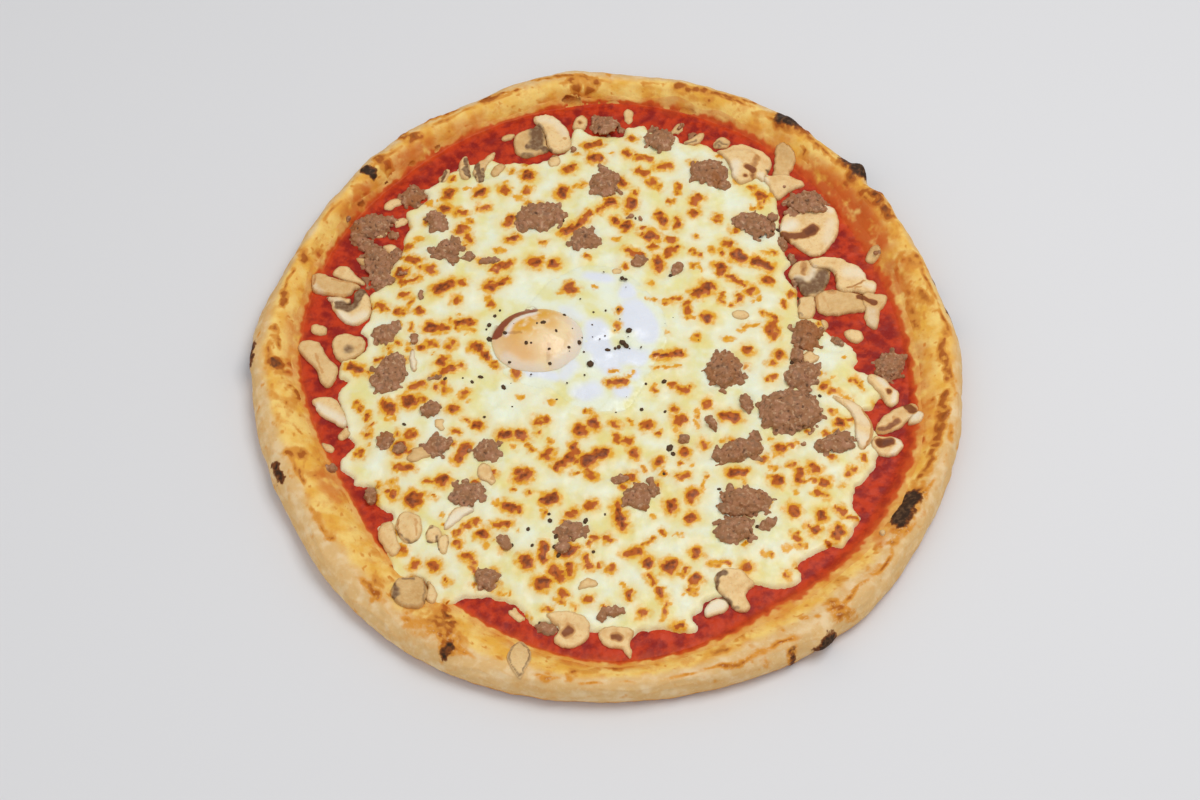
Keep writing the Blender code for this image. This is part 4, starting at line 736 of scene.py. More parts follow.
def disc_mesh(name, rows, top, foot):
    """A closed skin of rings, from a point on top, out over the edge and in to a point below."""
    count, steps = rows.shape[:2]
    verts = np.vstack((rows.reshape(-1, 3), [top, foot]))
    here = np.arange(steps)
    after = (here + 1) % steps
    faces = []
    for k in range(count - 1):
        row, above = k * steps, (k + 1) * steps
        quads = np.stack((row + here, above + here, above + after, row + after), 1)
        faces += quads.tolist()
    last = (count - 1) * steps
    faces += [[count * steps, a, b] for a, b in zip(here.tolist(), after.tolist())]
    faces += [[count * steps + 1, last + b, last + a] for a, b in zip(here.tolist(), after.tolist())]
    mesh = bpy.data.meshes.new(name)
    mesh.from_pydata(verts.tolist(), [], faces)
    mesh.update()
    return mesh


def points_of(mesh):
    points = np.empty(len(mesh.vertices) * 3)
    mesh.vertices.foreach_get("co", points)
    return points.reshape(-1, 3)


def normals_of(mesh):
    normals = np.empty(len(mesh.vertices) * 3)
    mesh.vertices.foreach_get("normal", normals)
    return normals.reshape(-1, 3)


def set_points(mesh, points):
    mesh.vertices.foreach_set("co", np.ascontiguousarray(points, dtype=np.float32).ravel())
    mesh.update()


def set_masks(mesh, **masks):
    """Masks from 0 to 1 that the material reads by name. Points past the end of a mask get 0."""
    for name, values in masks.items():
        amounts = np.zeros(len(mesh.vertices), np.float32)
        amounts[:np.size(values)] = np.clip(np.ravel(values), 0, 1)
        mesh.attributes.new(name, "FLOAT", "POINT").data.foreach_set("value", amounts)


def add_object(name, data):
    obj = bpy.data.objects.new(name, data)
    bpy.context.scene.collection.objects.link(obj)
    return obj


def finish_piece(name, mesh, finish, nodes=()):
    """The finished piece at its place, smooth, riding on the pizza and standing for its solids."""
    mesh.transform(Matrix.Translation(PLACE))
    mesh.materials.clear()
    mesh.materials.append(finish)
    mesh.shade_smooth()
    obj = add_object(name, mesh)
    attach(obj, "root")
    if nodes:
        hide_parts(*nodes)
    return obj


class Ground:
    """The pieces laid so far, to find the height that a topping rests on."""

    def __init__(self, *names):
        self.trees = []
        for name in names:
            self.add(bpy.data.objects[name].data, PLACE)

    def add(self, mesh, moved=Vector((0, 0, 0))):
        points = points_of(mesh) - np.array(moved)
        tree = BVHTree.FromPolygons(points.tolist(), [list(p.vertices) for p in mesh.polygons])
        self.trees.append((tree, points.min(0), points.max(0)))

    def height(self, x, y):
        found = 0.0
        for tree, low, high in self.trees:
            if low[0] <= x <= high[0] and low[1] <= y <= high[1] and high[2] > found:
                spot = tree.ray_cast((x, y, 0.1), (0, 0, -1))[0]
                if spot:
                    found = max(found, spot.z)
        return found

    def heights(self, x, y):
        pairs = zip(np.ravel(x).tolist(), np.ravel(y).tolist())
        return np.array([self.height(a, b) for a, b in pairs]).reshape(np.shape(x))


def put(tree, kind, inputs=None, **settings):
    """Adds a node with its settings, and sets or joins its inputs by name or number."""
    node = tree.nodes.new(kind)
    for key, value in settings.items():
        setattr(node, key, value)
    for key, value in (inputs or {}).items():
        if isinstance(value, bpy.types.NodeSocket):
            tree.links.new(value, node.inputs[key])
        else:
            node.inputs[key].default_value = value
    return node


def blend(tree, factor, first, second):
    return put(tree, "ShaderNodeMix", {0: factor, 6: first, 7: second}, data_type="RGBA").outputs[2]


def calculate(tree, operation, first, second):
    return put(tree, "ShaderNodeMath", {0: first, 1: second}, operation=operation).outputs[0]


def times(tree, first, second):
    return calculate(tree, "MULTIPLY", first, second)


def ramp(tree, value, low, high, start=0.0, end=1.0):
    """Smooth rise from start to end as the value goes from low to high."""
    ends = {"Value": value, "From Min": low, "From Max": high, "To Min": start, "To Max": end}
    return put(tree, "ShaderNodeMapRange", ends, interpolation_type="SMOOTHSTEP").outputs["Result"]


def speckle(tree, size, detail=2.0, rough=0.5):
    """Noise over the object, with waves of that many metres."""
    place = put(tree, "ShaderNodeTexCoord").outputs["Object"]
    noise = {"Vector": place, "Scale": 1 / size, "Detail": detail, "Roughness": rough}
    return put(tree, "ShaderNodeTexNoise", noise).outputs[0]


def mask(tree, name):
    return put(tree, "ShaderNodeAttribute", attribute_name=name).outputs["Fac"]


def new_group(name, inputs, outputs, kind="ShaderNodeTree"):
    """An empty node group with its named sockets, and its input and output nodes."""
    tree = bpy.data.node_groups.new(name, kind)
    for label, socket, default in inputs:
        made = tree.interface.new_socket(label, in_out="INPUT", socket_type=socket)
        if default is not None:
            made.default_value = default
    for label, socket in outputs:
        tree.interface.new_socket(label, in_out="OUTPUT", socket_type=socket)
    return tree, tree.nodes.new("NodeGroupInput").outputs, tree.nodes.new("NodeGroupOutput").inputs


def browning_group():
    """Shader group that takes a clean colour through gold and brown to burnt, with a ragged edge."""
    found = bpy.data.node_groups.get("Browning")
    if found:
        return found
    colours = [(label, "NodeSocketColor", None) for label in ("Clean", "Gold", "Brown", "Burnt")]
    numbers = [("Amount", "NodeSocketFloat", 0.0), ("Grain", "NodeSocketFloat", 900.0),
               ("Ragged", "NodeSocketFloat", 0.3)]
    tree, given, made = new_group("Browning", numbers + colours,
                                  [("Colour", "NodeSocketColor"), ("Browned", "NodeSocketFloat")])
    place = put(tree, "ShaderNodeTexCoord").outputs["Object"]
    grain = put(tree, "ShaderNodeTexNoise", {"Vector": place, "Scale": given["Grain"], "Detail": 3.0})
    uneven = times(tree, calculate(tree, "SUBTRACT", grain.outputs[0], 0.5), given["Ragged"])
    fading = ramp(tree, given["Amount"], 0.02, 0.3)
    amount = calculate(tree, "ADD", given["Amount"], times(tree, uneven, fading))
    colour = blend(tree, ramp(tree, amount, 0.08, 0.36), given["Clean"], given["Gold"])
    browned = ramp(tree, amount, 0.36, 0.66)
    colour = blend(tree, browned, colour, given["Brown"])
    colour = blend(tree, ramp(tree, amount, 0.76, 1.12), colour, given["Burnt"])
    tree.links.new(colour, made["Colour"])
    tree.links.new(browned, made["Browned"])
    return tree


def mottle_group():
    """Shader group that mixes two shades by soft noise."""
    found = bpy.data.node_groups.get("Mottle")
    if found:
        return found
    inputs = [("First", "NodeSocketColor", None), ("Second", "NodeSocketColor", None),
              ("Patches", "NodeSocketFloat", 100.0), ("Share", "NodeSocketFloat", 0.5)]
    tree, given, made = new_group("Mottle", inputs, [("Colour", "NodeSocketColor")])
    place = put(tree, "ShaderNodeTexCoord").outputs["Object"]
    patch = put(tree, "ShaderNodeTexNoise", {"Vector": place, "Scale": given["Patches"], "Detail": 3.0})
    level = calculate(tree, "SUBTRACT", 1.0, given["Share"])
    low, high = calculate(tree, "SUBTRACT", level, 0.16), calculate(tree, "ADD", level, 0.16)
    share = ramp(tree, patch.outputs[0], low, high)
    tree.links.new(blend(tree, share, given["First"], given["Second"]), made["Colour"])
    return tree


def use_group(tree, group, **inputs):
    return put(tree, "ShaderNodeGroup", inputs, node_tree=group).outputs


def mottled(tree, first, second, patches, share):
    """Colour of two shades in patches, that many to the metre, with the second's share."""
    return use_group(tree, mottle_group(), First=first, Second=second, Patches=patches, Share=share)["Colour"]


def new_finish(name, **fixed):
    """A material, its node tree and its Principled shader, with the shader's even values set."""
    finish = bpy.data.materials.new(name)
    finish.use_nodes = True
    shader = finish.node_tree.nodes["Principled BSDF"]
    for label, value in fixed.items():
        shader.inputs[label.replace("_", " ").title().replace("Ior", "IOR")].default_value = value
    return finish, finish.node_tree, shader


def dress(tree, shader, colour, roughness, heights):
    """Joins a colour, a roughness and a chain of bumps, each its height and depth, to the shader."""
    tree.links.new(colour, shader.inputs["Base Color"])
    if isinstance(roughness, bpy.types.NodeSocket):
        tree.links.new(roughness, shader.inputs["Roughness"])
    else:
        shader.inputs["Roughness"].default_value = roughness
    normal = None
    for height, depth in heights:
        bump = put(tree, "ShaderNodeBump", {"Height": height, "Distance": depth, "Strength": 1.0})
        if normal:
            tree.links.new(normal, bump.inputs["Normal"])
        normal = bump.outputs[0]
    tree.links.new(normal, shader.inputs["Normal"])


def golden_skin(tree, look):
    """Colour of the oiled crust, golden with ruddier patches."""
    warm = mottled(tree, look.golden, tint(250, 212, 122), 120.0, 0.5)
    ruddy = times(tree, ramp(tree, speckle(tree, 6 * MM, 5.0, 0.65), 0.48, 0.7), 0.55)
    return blend(tree, ruddy, warm, tint(222, 140, 48))


def sauce_stained(tree, amount, clean):
    """Crust colour with the patches that tomato has stained."""
    stained = times(tree, amount, ramp(tree, speckle(tree, 5 * MM), 0.2, 0.54))
    return blend(tree, stained, clean, tint(206, 90, 28))


def crust_finish(look):
    finish, tree, shader = new_finish("baked_crust", subsurface_weight=0.06, subsurface_scale=0.002,
                                      specular_ior_level=0.2)
    shader.inputs["Subsurface Radius"].default_value = (1.0, 0.5, 0.25)
    oiled, floured = mask(tree, "oiled"), mask(tree, "floured")
    dry = mottled(tree, look.floured, look.flour, 190.0, 0.42)
    skin = blend(tree, oiled, dry, golden_skin(tree, look))
    toast = use_group(tree, browning_group(), Amount=mask(tree, "browned"), Clean=skin,
                      Gold=tint(222, 150, 58), Brown=look.browned, Burnt=tint(104, 50, 18), Grain=420.0,
                      Ragged=0.34)
    colour = sauce_stained(tree, mask(tree, "stained"), toast["Colour"])
    dust = times(tree, floured, ramp(tree, speckle(tree, 1.5 * MM, 4.0, 0.6), 0.52, 0.68))
    colour = blend(tree, times(tree, dust, 0.4), colour, look.flour)
    ash = times(tree, ramp(tree, speckle(tree, 2 * MM, 3.0), 0.3, 0.7), 0.35)
    charred = mottled(tree, look.charred, tint(108, 78, 52), 500.0, 0.4)
    burnt = calculate(tree, "SUBTRACT", mask(tree, "charred"), ash)
    colour = blend(tree, ramp(tree, burnt, 0.0, 0.3), colour, tint(122, 66, 28))
    colour = blend(tree, ramp(tree, burnt, 0.25, 0.6), colour, charred)
    rough = ramp(tree, oiled, 0.0, 1.0, 0.82, 0.56)
    dress(tree, shader, colour, rough, ((speckle(tree, 0.9 * MM, 4.0, 0.6), 0.16 * MM),
                                        (speckle(tree, 3.2 * MM, 2.0), 0.3 * MM)))
    return finish


def sauce_finish(look, crust):
    finish, tree, shader = new_finish("tomato_sauce", coat_weight=0.05, coat_roughness=0.3,
                                      specular_ior_level=0.25, subsurface_weight=0.04,
                                      subsurface_scale=0.0015)
    shader.inputs["Subsurface Radius"].default_value = (1.0, 0.25, 0.1)
    base = mottled(tree, look.deep, look.bright, 230.0, 0.5)
    thin = times(tree, mask(tree, "thin"), 0.75)
    colour = blend(tree, thin, base, tint(214, 84, 24))
    pulp = ramp(tree, speckle(tree, 2.2 * MM, 3.0, 0.6), 0.56, 0.7)
    colour = blend(tree, times(tree, pulp, 0.35), colour, tint(216, 72, 24))
    colour = blend(tree, ramp(tree, mask(tree, "thin"), 0.55, 0.85), colour, tint(212, 92, 28))
    bare = sauce_stained(tree, mask(tree, "stained"), golden_skin(tree, crust))
    colour = blend(tree, ramp(tree, mask(tree, "thin"), 0.8, 0.97), colour, bare)
    dress(tree, shader, colour, 0.52, ((speckle(tree, 1.4 * MM, 3.0), 0.2 * MM),
                                       (speckle(tree, 4 * MM, 2.0), 0.45 * MM)))
    return finish


def cheese_base(tree, look):
    """Colour of plain melted cheese: cream with buttery patches and milky spots."""
    base = mottled(tree, look.cream, look.buttery, 85.0, 0.46)
    milky = ramp(tree, speckle(tree, 9 * MM, 2.0), 0.5, 0.7)
    return blend(tree, times(tree, milky, 0.55), base, tint(238, 245, 228))


def cheese_finish(look):
    finish, tree, shader = new_finish("toasted_cheese", subsurface_weight=0.08, subsurface_scale=0.0015,
                                      coat_weight=0.05, coat_roughness=0.25, specular_ior_level=0.3)
    shader.inputs["Subsurface Radius"].default_value = (1.0, 0.7, 0.35)
    base = blend(tree, times(tree, mask(tree, "edge"), 0.5), cheese_base(tree, look),
                 tint(247, 232, 178))
    base = blend(tree, times(tree, mask(tree, "buttery"), 0.85), base, tint(240, 206, 100))
    toast = use_group(tree, browning_group(), Amount=mask(tree, "toast"), Clean=base, Gold=look.gold,
                      Brown=look.toasted, Burnt=look.burnt, Grain=700.0, Ragged=0.4)
    rough = ramp(tree, toast["Browned"], 0.0, 1.0, 0.36, 0.5)
    dress(tree, shader, toast["Colour"], rough, ((speckle(tree, 2.4 * MM, 3.0), 0.28 * MM),
                                                 (speckle(tree, 0.8 * MM, 2.0), 0.05 * MM)))
    return finish


def egg_white_finish(look, cheese):
    finish, tree, shader = new_finish("egg_white", subsurface_weight=0.2, subsurface_scale=0.002,
                                      coat_weight=0.2, coat_roughness=0.18)
    shader.inputs["Subsurface Radius"].default_value = (1.0, 0.9, 0.8)
    set_white = ramp(tree, mask(tree, "white"), 0.15, 0.75)
    base = blend(tree, set_white, cheese_base(tree, cheese), look.white)
    toast = use_group(tree, browning_group(), Amount=mask(tree, "toast"), Clean=base, Gold=cheese.gold,
                      Brown=cheese.toasted, Burnt=cheese.burnt, Grain=700.0, Ragged=0.4)
    colour = blend(tree, mask(tree, "scorched"), toast["Colour"], look.scorch)
    dress(tree, shader, colour, 0.3, ((speckle(tree, 3 * MM, 2.0), 0.25 * MM),))
    return finish


def yolk_finish(look):
    finish, tree, shader = new_finish("egg_yolk", subsurface_weight=0.15, subsurface_scale=0.002,
                                      coat_weight=0.1, coat_roughness=0.25)
    shader.inputs["Subsurface Radius"].default_value = (1.0, 0.6, 0.3)
    film = mottled(tree, look.film, tint(242, 208, 160), 210.0, 0.42)
    colour = blend(tree, mask(tree, "orange"), film, look.orange)
    bare = times(tree, mask(tree, "gold"), ramp(tree, speckle(tree, 4 * MM), 0.25, 0.5))
    colour = blend(tree, bare, colour, look.gold)
    # Pale film, with a painted highlight line along the yolk's upper-left edge.
    colour = blend(tree, mask(tree, "pale"), colour, tint(238, 226, 212))
    colour = blend(tree, ramp(tree, mask(tree, "scorched"), 0.2, 0.7), colour, look.scorch)
    dress(tree, shader, colour, 0.28, ((speckle(tree, 2.5 * MM, 3.0), 0.22 * MM),))
    return finish


def mince_finish(look):
    finish, tree, shader = new_finish("cooked_mince", specular_ior_level=0.3)
    base = mottled(tree, look.meat, look.rosy, 330.0, 0.45)
    grey = ramp(tree, speckle(tree, 2.2 * MM, 2.0), 0.5, 0.66)
    colour = blend(tree, times(tree, grey, 0.6), base, tint(134, 102, 76))
    # Pale specks: lighter crumbs, and painted highlights on the mince.
    pale = ramp(tree, speckle(tree, 1.5 * MM, 2.0), 0.56, 0.68)
    colour = blend(tree, times(tree, pale, 0.55), colour, tint(214, 176, 138))
    colour = blend(tree, times(tree, mask(tree, "roasted"), 0.8), colour, look.roasted)
    # Painted shade: the crumb hollows and the foot of each clump are darkened towards the hollow colour.
    deep = times(tree, ramp(tree, mask(tree, "hollow"), 0.3, 0.85), 0.85)
    colour = blend(tree, deep, colour, look.hollow)
    dress(tree, shader, colour, 0.6, ((speckle(tree, 0.7 * MM, 4.0, 0.65), 0.22 * MM),))
    return finish


def mushroom_finish(look):
    finish, tree, shader = new_finish("sliced_mushroom", subsurface_weight=0.1, subsurface_scale=0.0015,
                                      coat_weight=0.03, coat_roughness=0.3, specular_ior_level=0.3)
    shader.inputs["Subsurface Radius"].default_value = (1.0, 0.7, 0.4)
    flesh = mottled(tree, look.flesh, tint(230, 186, 122), 260.0, 0.4)
    fibres = times(tree, ramp(tree, speckle(tree, 1.3 * MM, 3.0, 0.6), 0.54, 0.7), 0.4)
    colour = blend(tree, fibres, flesh, tint(214, 158, 100))
    colour = blend(tree, mask(tree, "pale"), colour, look.pale)
    streaks = ramp(tree, speckle(tree, 1.8 * MM, 3.0), 0.4, 0.62, 0.72, 1.0)
    colour = blend(tree, times(tree, mask(tree, "tan"), streaks), colour, look.tan)
    # Darker band along each piece's edge: partly browned cut edge, partly painted edge shade.
    colour = blend(tree, times(tree, mask(tree, "skin"), 0.6), colour, tint(166, 118, 74))
    spots = use_group(tree, browning_group(), Amount=mask(tree, "spot"), Clean=colour,
                      Gold=tint(214, 160, 96), Brown=look.spot, Burnt=tint(104, 52, 26), Grain=600.0,
                      Ragged=0.25)
    dark = mottled(tree, look.gill, tint(158, 128, 94), 500.0, 0.45)
    colour = blend(tree, ramp(tree, mask(tree, "gill"), 0.1, 0.8), spots["Colour"], dark)
    dress(tree, shader, colour, 0.5, ((speckle(tree, 1.1 * MM, 3.0, 0.6), 0.2 * MM),
                                      (speckle(tree, 3 * MM, 2.0), 0.35 * MM)))
    return finish


def pepper_finish(look):
    finish, tree, shader = new_finish("ground_pepper", specular_ior_level=0.25)
    base = mottled(tree, look.colour, tint(104, 84, 56), 900.0, 0.3)
    dress(tree, shader, base, 0.65, ((speckle(tree, 0.5 * MM, 2.0), 0.1 * MM),))
    return finish


def rim_points(angle, inset, share):
    """Points of the rim's section. Negative height shares are below the floor's surface."""
    crest = around(RIM_CRESTS, angle)
    outer = inset * crest / SECTION_CREST
    inner = 1 - (1 - inset) * (1 - crest) / (1 - SECTION_CREST)
    placed = np.where(inset < SECTION_CREST, outer, np.where(inset < 1, inner, inset))
    rise = np.where(share > 0, around(RIM_HEIGHTS, angle) - FLOOR, FLOOR / 0.3)
    reach = around(OUTLINE_RADII, angle) - placed * around(RIM_WIDTHS, angle)
    height = np.maximum(0, FLOOR + share * rise)
    return np.stack((reach * np.cos(angle), reach * np.sin(angle), height), -1) * MM, placed - crest


def rim_lift(inset, share, points):
    """Lumps and blisters of the baked rim, which fade out above the sauce and at the foot."""
    free = fade(0.95, 0.6, inset) * fade(-0.3, 0.2, share)
    rise = RIM_LUMP * hills(points, RIM_LUMP_LENGTH * MM)
    for degrees, blister_inset, blister_share, size, height in BLISTERS:
        middle = rim_points(np.radians(degrees), blister_inset, blister_share)[0]
        far = np.linalg.norm(points - middle, axis=-1) / (size * MM)
        rise = rise + height * np.exp(-2 * far ** 2)
    return free * rise * MM


def stain_at(x, y):
    """Where tomato has stained the rim, in the given strokes."""
    return painted(*ragged(x, y, 2 * MM, 6 * MM, 12.0), CRUST_STAIN, 0.7)


def make_crust(look):
    """Baked dough: a turned section bent to the real outline, with blisters, bubbles and folds."""
    angle = np.linspace(0, 2 * np.pi, CRUST_STEPS, endpoint=False)[None, :]
    section = smooth_path(RIM_SECTION, CRUST_ROWS, (2, 1))
    inset, share = section[:, :1], section[:, 1:]
    spots, side = rim_points(angle, inset, share)
    out = np.stack((np.cos(angle), np.sin(angle), np.zeros_like(angle)), -1)
    lean = out * ((0.45 - inset) * 2)[..., None] + (0, 0, 1)
    lean /= np.linalg.norm(lean, axis=-1, keepdims=True)
    spots = spots + lean * rim_lift(inset, share, spots)[..., None]
    inner = spots[:1] * (1, 1, 0) + (0, 0, FLOOR * MM)
    floor = [inner * (k, k, 1) for k in (0.35, 0.7, 0.96)]
    foot = rim_points(angle, np.full_like(angle, RIM_FOOT_INSET), np.full_like(angle, -0.3))[0]
    rows = np.concatenate((*floor, spots, foot))
    mesh = disc_mesh("crust", rows, (0, 0, FLOOR * MM), (0, 0, 0))

    points, normals = points_of(mesh), normals_of(mesh)
    inner_rings, foot_ring = np.full(len(floor) * CRUST_STEPS, -1.0), np.full(CRUST_STEPS, RIM_FOOT_INSET)
    section_rings = np.broadcast_to(inset, side.shape).ravel()
    depth = np.concatenate((inner_rings, section_rings, foot_ring, [-1.0, RIM_FOOT_INSET]))
    wall = np.concatenate((np.full(3 * CRUST_STEPS, 1.0), side.ravel(), np.zeros(CRUST_STEPS), [1.0, 0.0]))
    shows = fade(1.1, 0.9, depth) * (depth > -0.5) * fade(0.3 * MM, 2.5 * MM, points[:, 2])
    far_round = np.arctan2(points[:, 1], points[:, 0]) * MEAN_RADIUS / 15
    far_out = np.hypot(points[:, 0], points[:, 1]) / (9 * MM)
    creases = np.stack((far_round, points[:, 2] / (FOLD_SPACING * MM), far_out), -1)
    folds = 1 - np.abs(hills(creases, 1.0, 9.0)) * 2.2
    outer = fade(0.02, -0.16, wall)
    bubbles = hills(points, 8 * MM, 2.0) + 0.55 * hills(points, 3.6 * MM, 5.0)
    bubbles += 0.25 * hills(points, 1.7 * MM)
    rise = look.bubble * bubbles + FOLD_HEIGHT * MM * outer * np.clip(folds, -0.3, 1)
    rise = rise * (1 - 0.75 * fade(0.28, 0.5, wall))
    plan = points[:, 0], points[:, 1]
    place = ragged(*ragged(*plan, 2.0 * MM, 6 * MM, 3.0), 0.8 * MM, 2 * MM, 6.0)
    uneven = np.clip(0.95 + 1.1 * hills(points, 2.4 * MM, 20.0), 0.1, 1.2)
    browned = painted(*place, CRUST_BROWN, 0.9) * uneven
    charred = painted(*ragged(*plan, 1.2 * MM, 2.6 * MM, 6.0), CRUST_CHAR, 0.65)
    rise += 0.5 * MM * browned * fade(0.3, 0.8, browned) + 0.3 * MM * charred
    set_points(mesh, points + normals * (rise * shows)[:, None])

    wobble = 0.1 * hills(points, 12 * MM, 8.0) + 0.05 * hills(points, 4 * MM, 8.0)
    dry = around(RIM_FLOURED, np.arctan2(points[:, 1], points[:, 0]))
    oiled = fade(-0.12, 0.1, wall + wobble + 0.5 - 0.7 * dry)
    baked = 0.3 * fade(0.1, 0.55, hills(points, 7 * MM, 14.0))
    baked += 0.34 * fade(0.25, 0.6, hills(points, 2.2 * MM, 17.0))
    broken = fade(-0.25, 0.35, hills(points, 13 * MM, 26.0)) * (1 + 0.6 * hills(points, 2.5 * MM, 28.0))
    ridge = RIDGE_BROWNING * np.exp(-((wall + 0.06 + 1.2 * wobble) / 0.055) ** 2) * broken
    crease = 0.16 * fade(0.3, 0.95, folds) * outer
    low_wall = 0.4 * outer * fade(5 * MM, 1.5 * MM, points[:, 2])
    near_sauce = NEAR_SAUCE * fade(0.28, 0.72, wall + 1.6 * wobble)
    stained = stain_at(*plan) * fade(-0.1, 0.2, wall)
    baked = np.maximum(baked * (0.5 + 0.5 * oiled), np.maximum(crease, ridge))
    set_masks(mesh, oiled=oiled, floured=(1 - oiled) * dry, browned=np.maximum(browned, baked + low_wall),
              charred=charred, stained=np.maximum(stained, near_sauce))
    return finish_piece("baked_crust", mesh, crust_finish(look), ["crust"])


def make_sauce(look, crust_look):
    """Tomato sauce, with pulp and ripples where it shows, that wets the foot of the rim unevenly."""
    angle = np.linspace(0, 2 * np.pi, SAUCE_STEPS, endpoint=False)
    shore = rim_points(angle, np.full_like(angle, 0.97), np.full_like(angle, 0.17))[0]
    edge = np.linalg.norm(shore[..., :2], axis=-1) + around(SAUCE_SPREAD, angle) * MM
    circle = np.stack((np.cos(angle), np.sin(angle), np.zeros_like(angle)), -1)
    wet = hills(circle * 0.14, 17 * MM, 2.0) + 0.3 * hills(circle * 0.14, 6 * MM, 4.0)
    climb = (around(SAUCE_CLIMB, angle) + 1.8 * np.clip(wet, -0.8, 1)) * MM
    inner = SAUCE_INNER * MM
    share = np.concatenate((np.linspace(0, 0.89, SAUCE_ROWS), np.linspace(0.9, 1, SAUCE_EDGE_ROWS)))
    reach = inner + (edge + climb - inner) * share[:, None]
    reach = np.concatenate((np.full((1, SAUCE_STEPS), inner * 0.5), reach))
    x, y = reach * np.cos(angle), reach * np.sin(angle)
    crust = Ground("baked_crust").heights(x, y)
    level = look.ripple * (plan_hills(x, y, 6 * MM, 3.0) + 0.6 * plan_hills(x, y, 2.6 * MM, 8.0))
    level += SAUCE_TOP * MM
    level += 0.35 * MM * fade(0.25, 0.7, plan_hills(x, y, 4.2 * MM, 21.0))
    past = (reach - edge) / climb
    film = np.where(past > 0, 0.7 * (1 - past ** 2) - 0.15, SAUCE_FILM) * MM
    top = np.where(past < -1.6, level, np.maximum(level - 0.4 * MM * fade(-0.8, 0.6, past), crust + film))
    top[-1] = crust[-1] - SAUCE_FILM_DIP * MM
    base = circle * 0.99 * edge[:, None] + (0, 0, SAUCE_BASE * MM)
    rows = np.concatenate((np.stack((x, y, top), -1), base[None]))
    mesh = disc_mesh("sauce", rows, (0, 0, SAUCE_TOP * MM), (0, 0, SAUCE_BASE * MM))
    uneven = 0.5 * plan_hills(x, y, 5 * MM, 5.0) + 0.3 * plan_hills(x, y, 2 * MM, 6.0)
    thin = fade(-1.6, 0.75, past + uneven)
    stained = np.maximum(stain_at(x, y), 0.55 * NEAR_SAUCE * np.ones_like(x))
    set_masks(mesh, thin=np.vstack((thin, thin[-1:])), stained=np.vstack((stained, stained[-1:])))
    return finish_piece("tomato_sauce", mesh, sauce_finish(look, crust_look), ["sauce"])


def closed_curve(points, step):
    """A smooth closed curve through points in millimetres, as points about that many metres apart."""
    points = np.array(points, float) * MM
    length = np.linalg.norm(np.roll(points, -1, 0) - points, axis=1).sum()
    angle = np.linspace(0, 2 * np.pi, int(length / step), endpoint=False)
    return np.stack([around(points[:, k], angle) for k in range(2)], 1)


def inside_by(x, y, curve):
    """How far each place lies inside a closed curve. It is below 0 outside the curve."""
    px, py = np.ravel(x), np.ravel(y)
    nearest = np.full(len(px), np.inf)
    within = np.zeros(len(px), bool)
    for (ax, ay), (bx, by) in zip(curve, np.roll(curve, -1, 0)):
        along, up = bx - ax, by - ay
        share = np.clip(((px - ax) * along + (py - ay) * up) / (along * along + up * up), 0, 1)
        nearest = np.minimum(nearest, (px - ax - share * along) ** 2 + (py - ay - share * up) ** 2)
        level = (ay > py) != (by > py)
        beside = ((px - ax) * up < (py - ay) * along) == (up > 0)
        within ^= level & beside
    return np.where(within, 1, -1).reshape(np.shape(x)) * np.sqrt(nearest).reshape(np.shape(x))


def grid_mesh(name, x, y, height, kept):
    """An open sheet over the kept places of a grid, and the numbers of those places."""
    cells = kept[:-1, :-1] & kept[1:, :-1] & kept[:-1, 1:] & kept[1:, 1:]
    number = np.arange(x.size).reshape(x.shape)
    corners = (number[:-1, :-1], number[:-1, 1:], number[1:, 1:], number[1:, :-1])
    quads = np.stack([c[cells] for c in corners], 1)
    used, order = np.unique(quads, return_inverse=True)
    points = np.stack((x.ravel(), y.ravel(), height.ravel()), 1)[used]
    mesh = bpy.data.meshes.new(name)
    mesh.from_pydata(points.tolist(), [], order.reshape(quads.shape).tolist())
    return mesh, used


def toast_at(x, y, flecks):
    """How strongly the cheese is toasted: the core of each fleck and the golden ground round it."""
    place = ragged(*ragged(x, y, 1.2 * MM, 2.8 * MM, 2.0), 0.8 * MM, 1.5 * MM, 9.0)
    core = painted(*place, fleck_strokes(flecks), 0.6)
    uneven = 1.12 + 0.7 * plan_hills(x, y, 2.0 * MM, 23.0)
    place = ragged(*ragged(x, y, 1.6 * MM, 4 * MM, 33.0), 0.8 * MM, 1.6 * MM, 37.0)
    halo = painted(*place, fleck_strokes(flecks, FLECK_HALO, 0.5), 0.8)
    halo *= 0.85 + 0.5 * plan_hills(x, y, 3 * MM, 41.0)
    return np.maximum(core * uneven, halo), core


def rounded(inside, width):
    """Height share of a rounded edge at each distance inside it."""
    return np.sqrt(np.clip(1 - np.clip(1 - inside / width, 0, 1) ** 2, 0, 1))


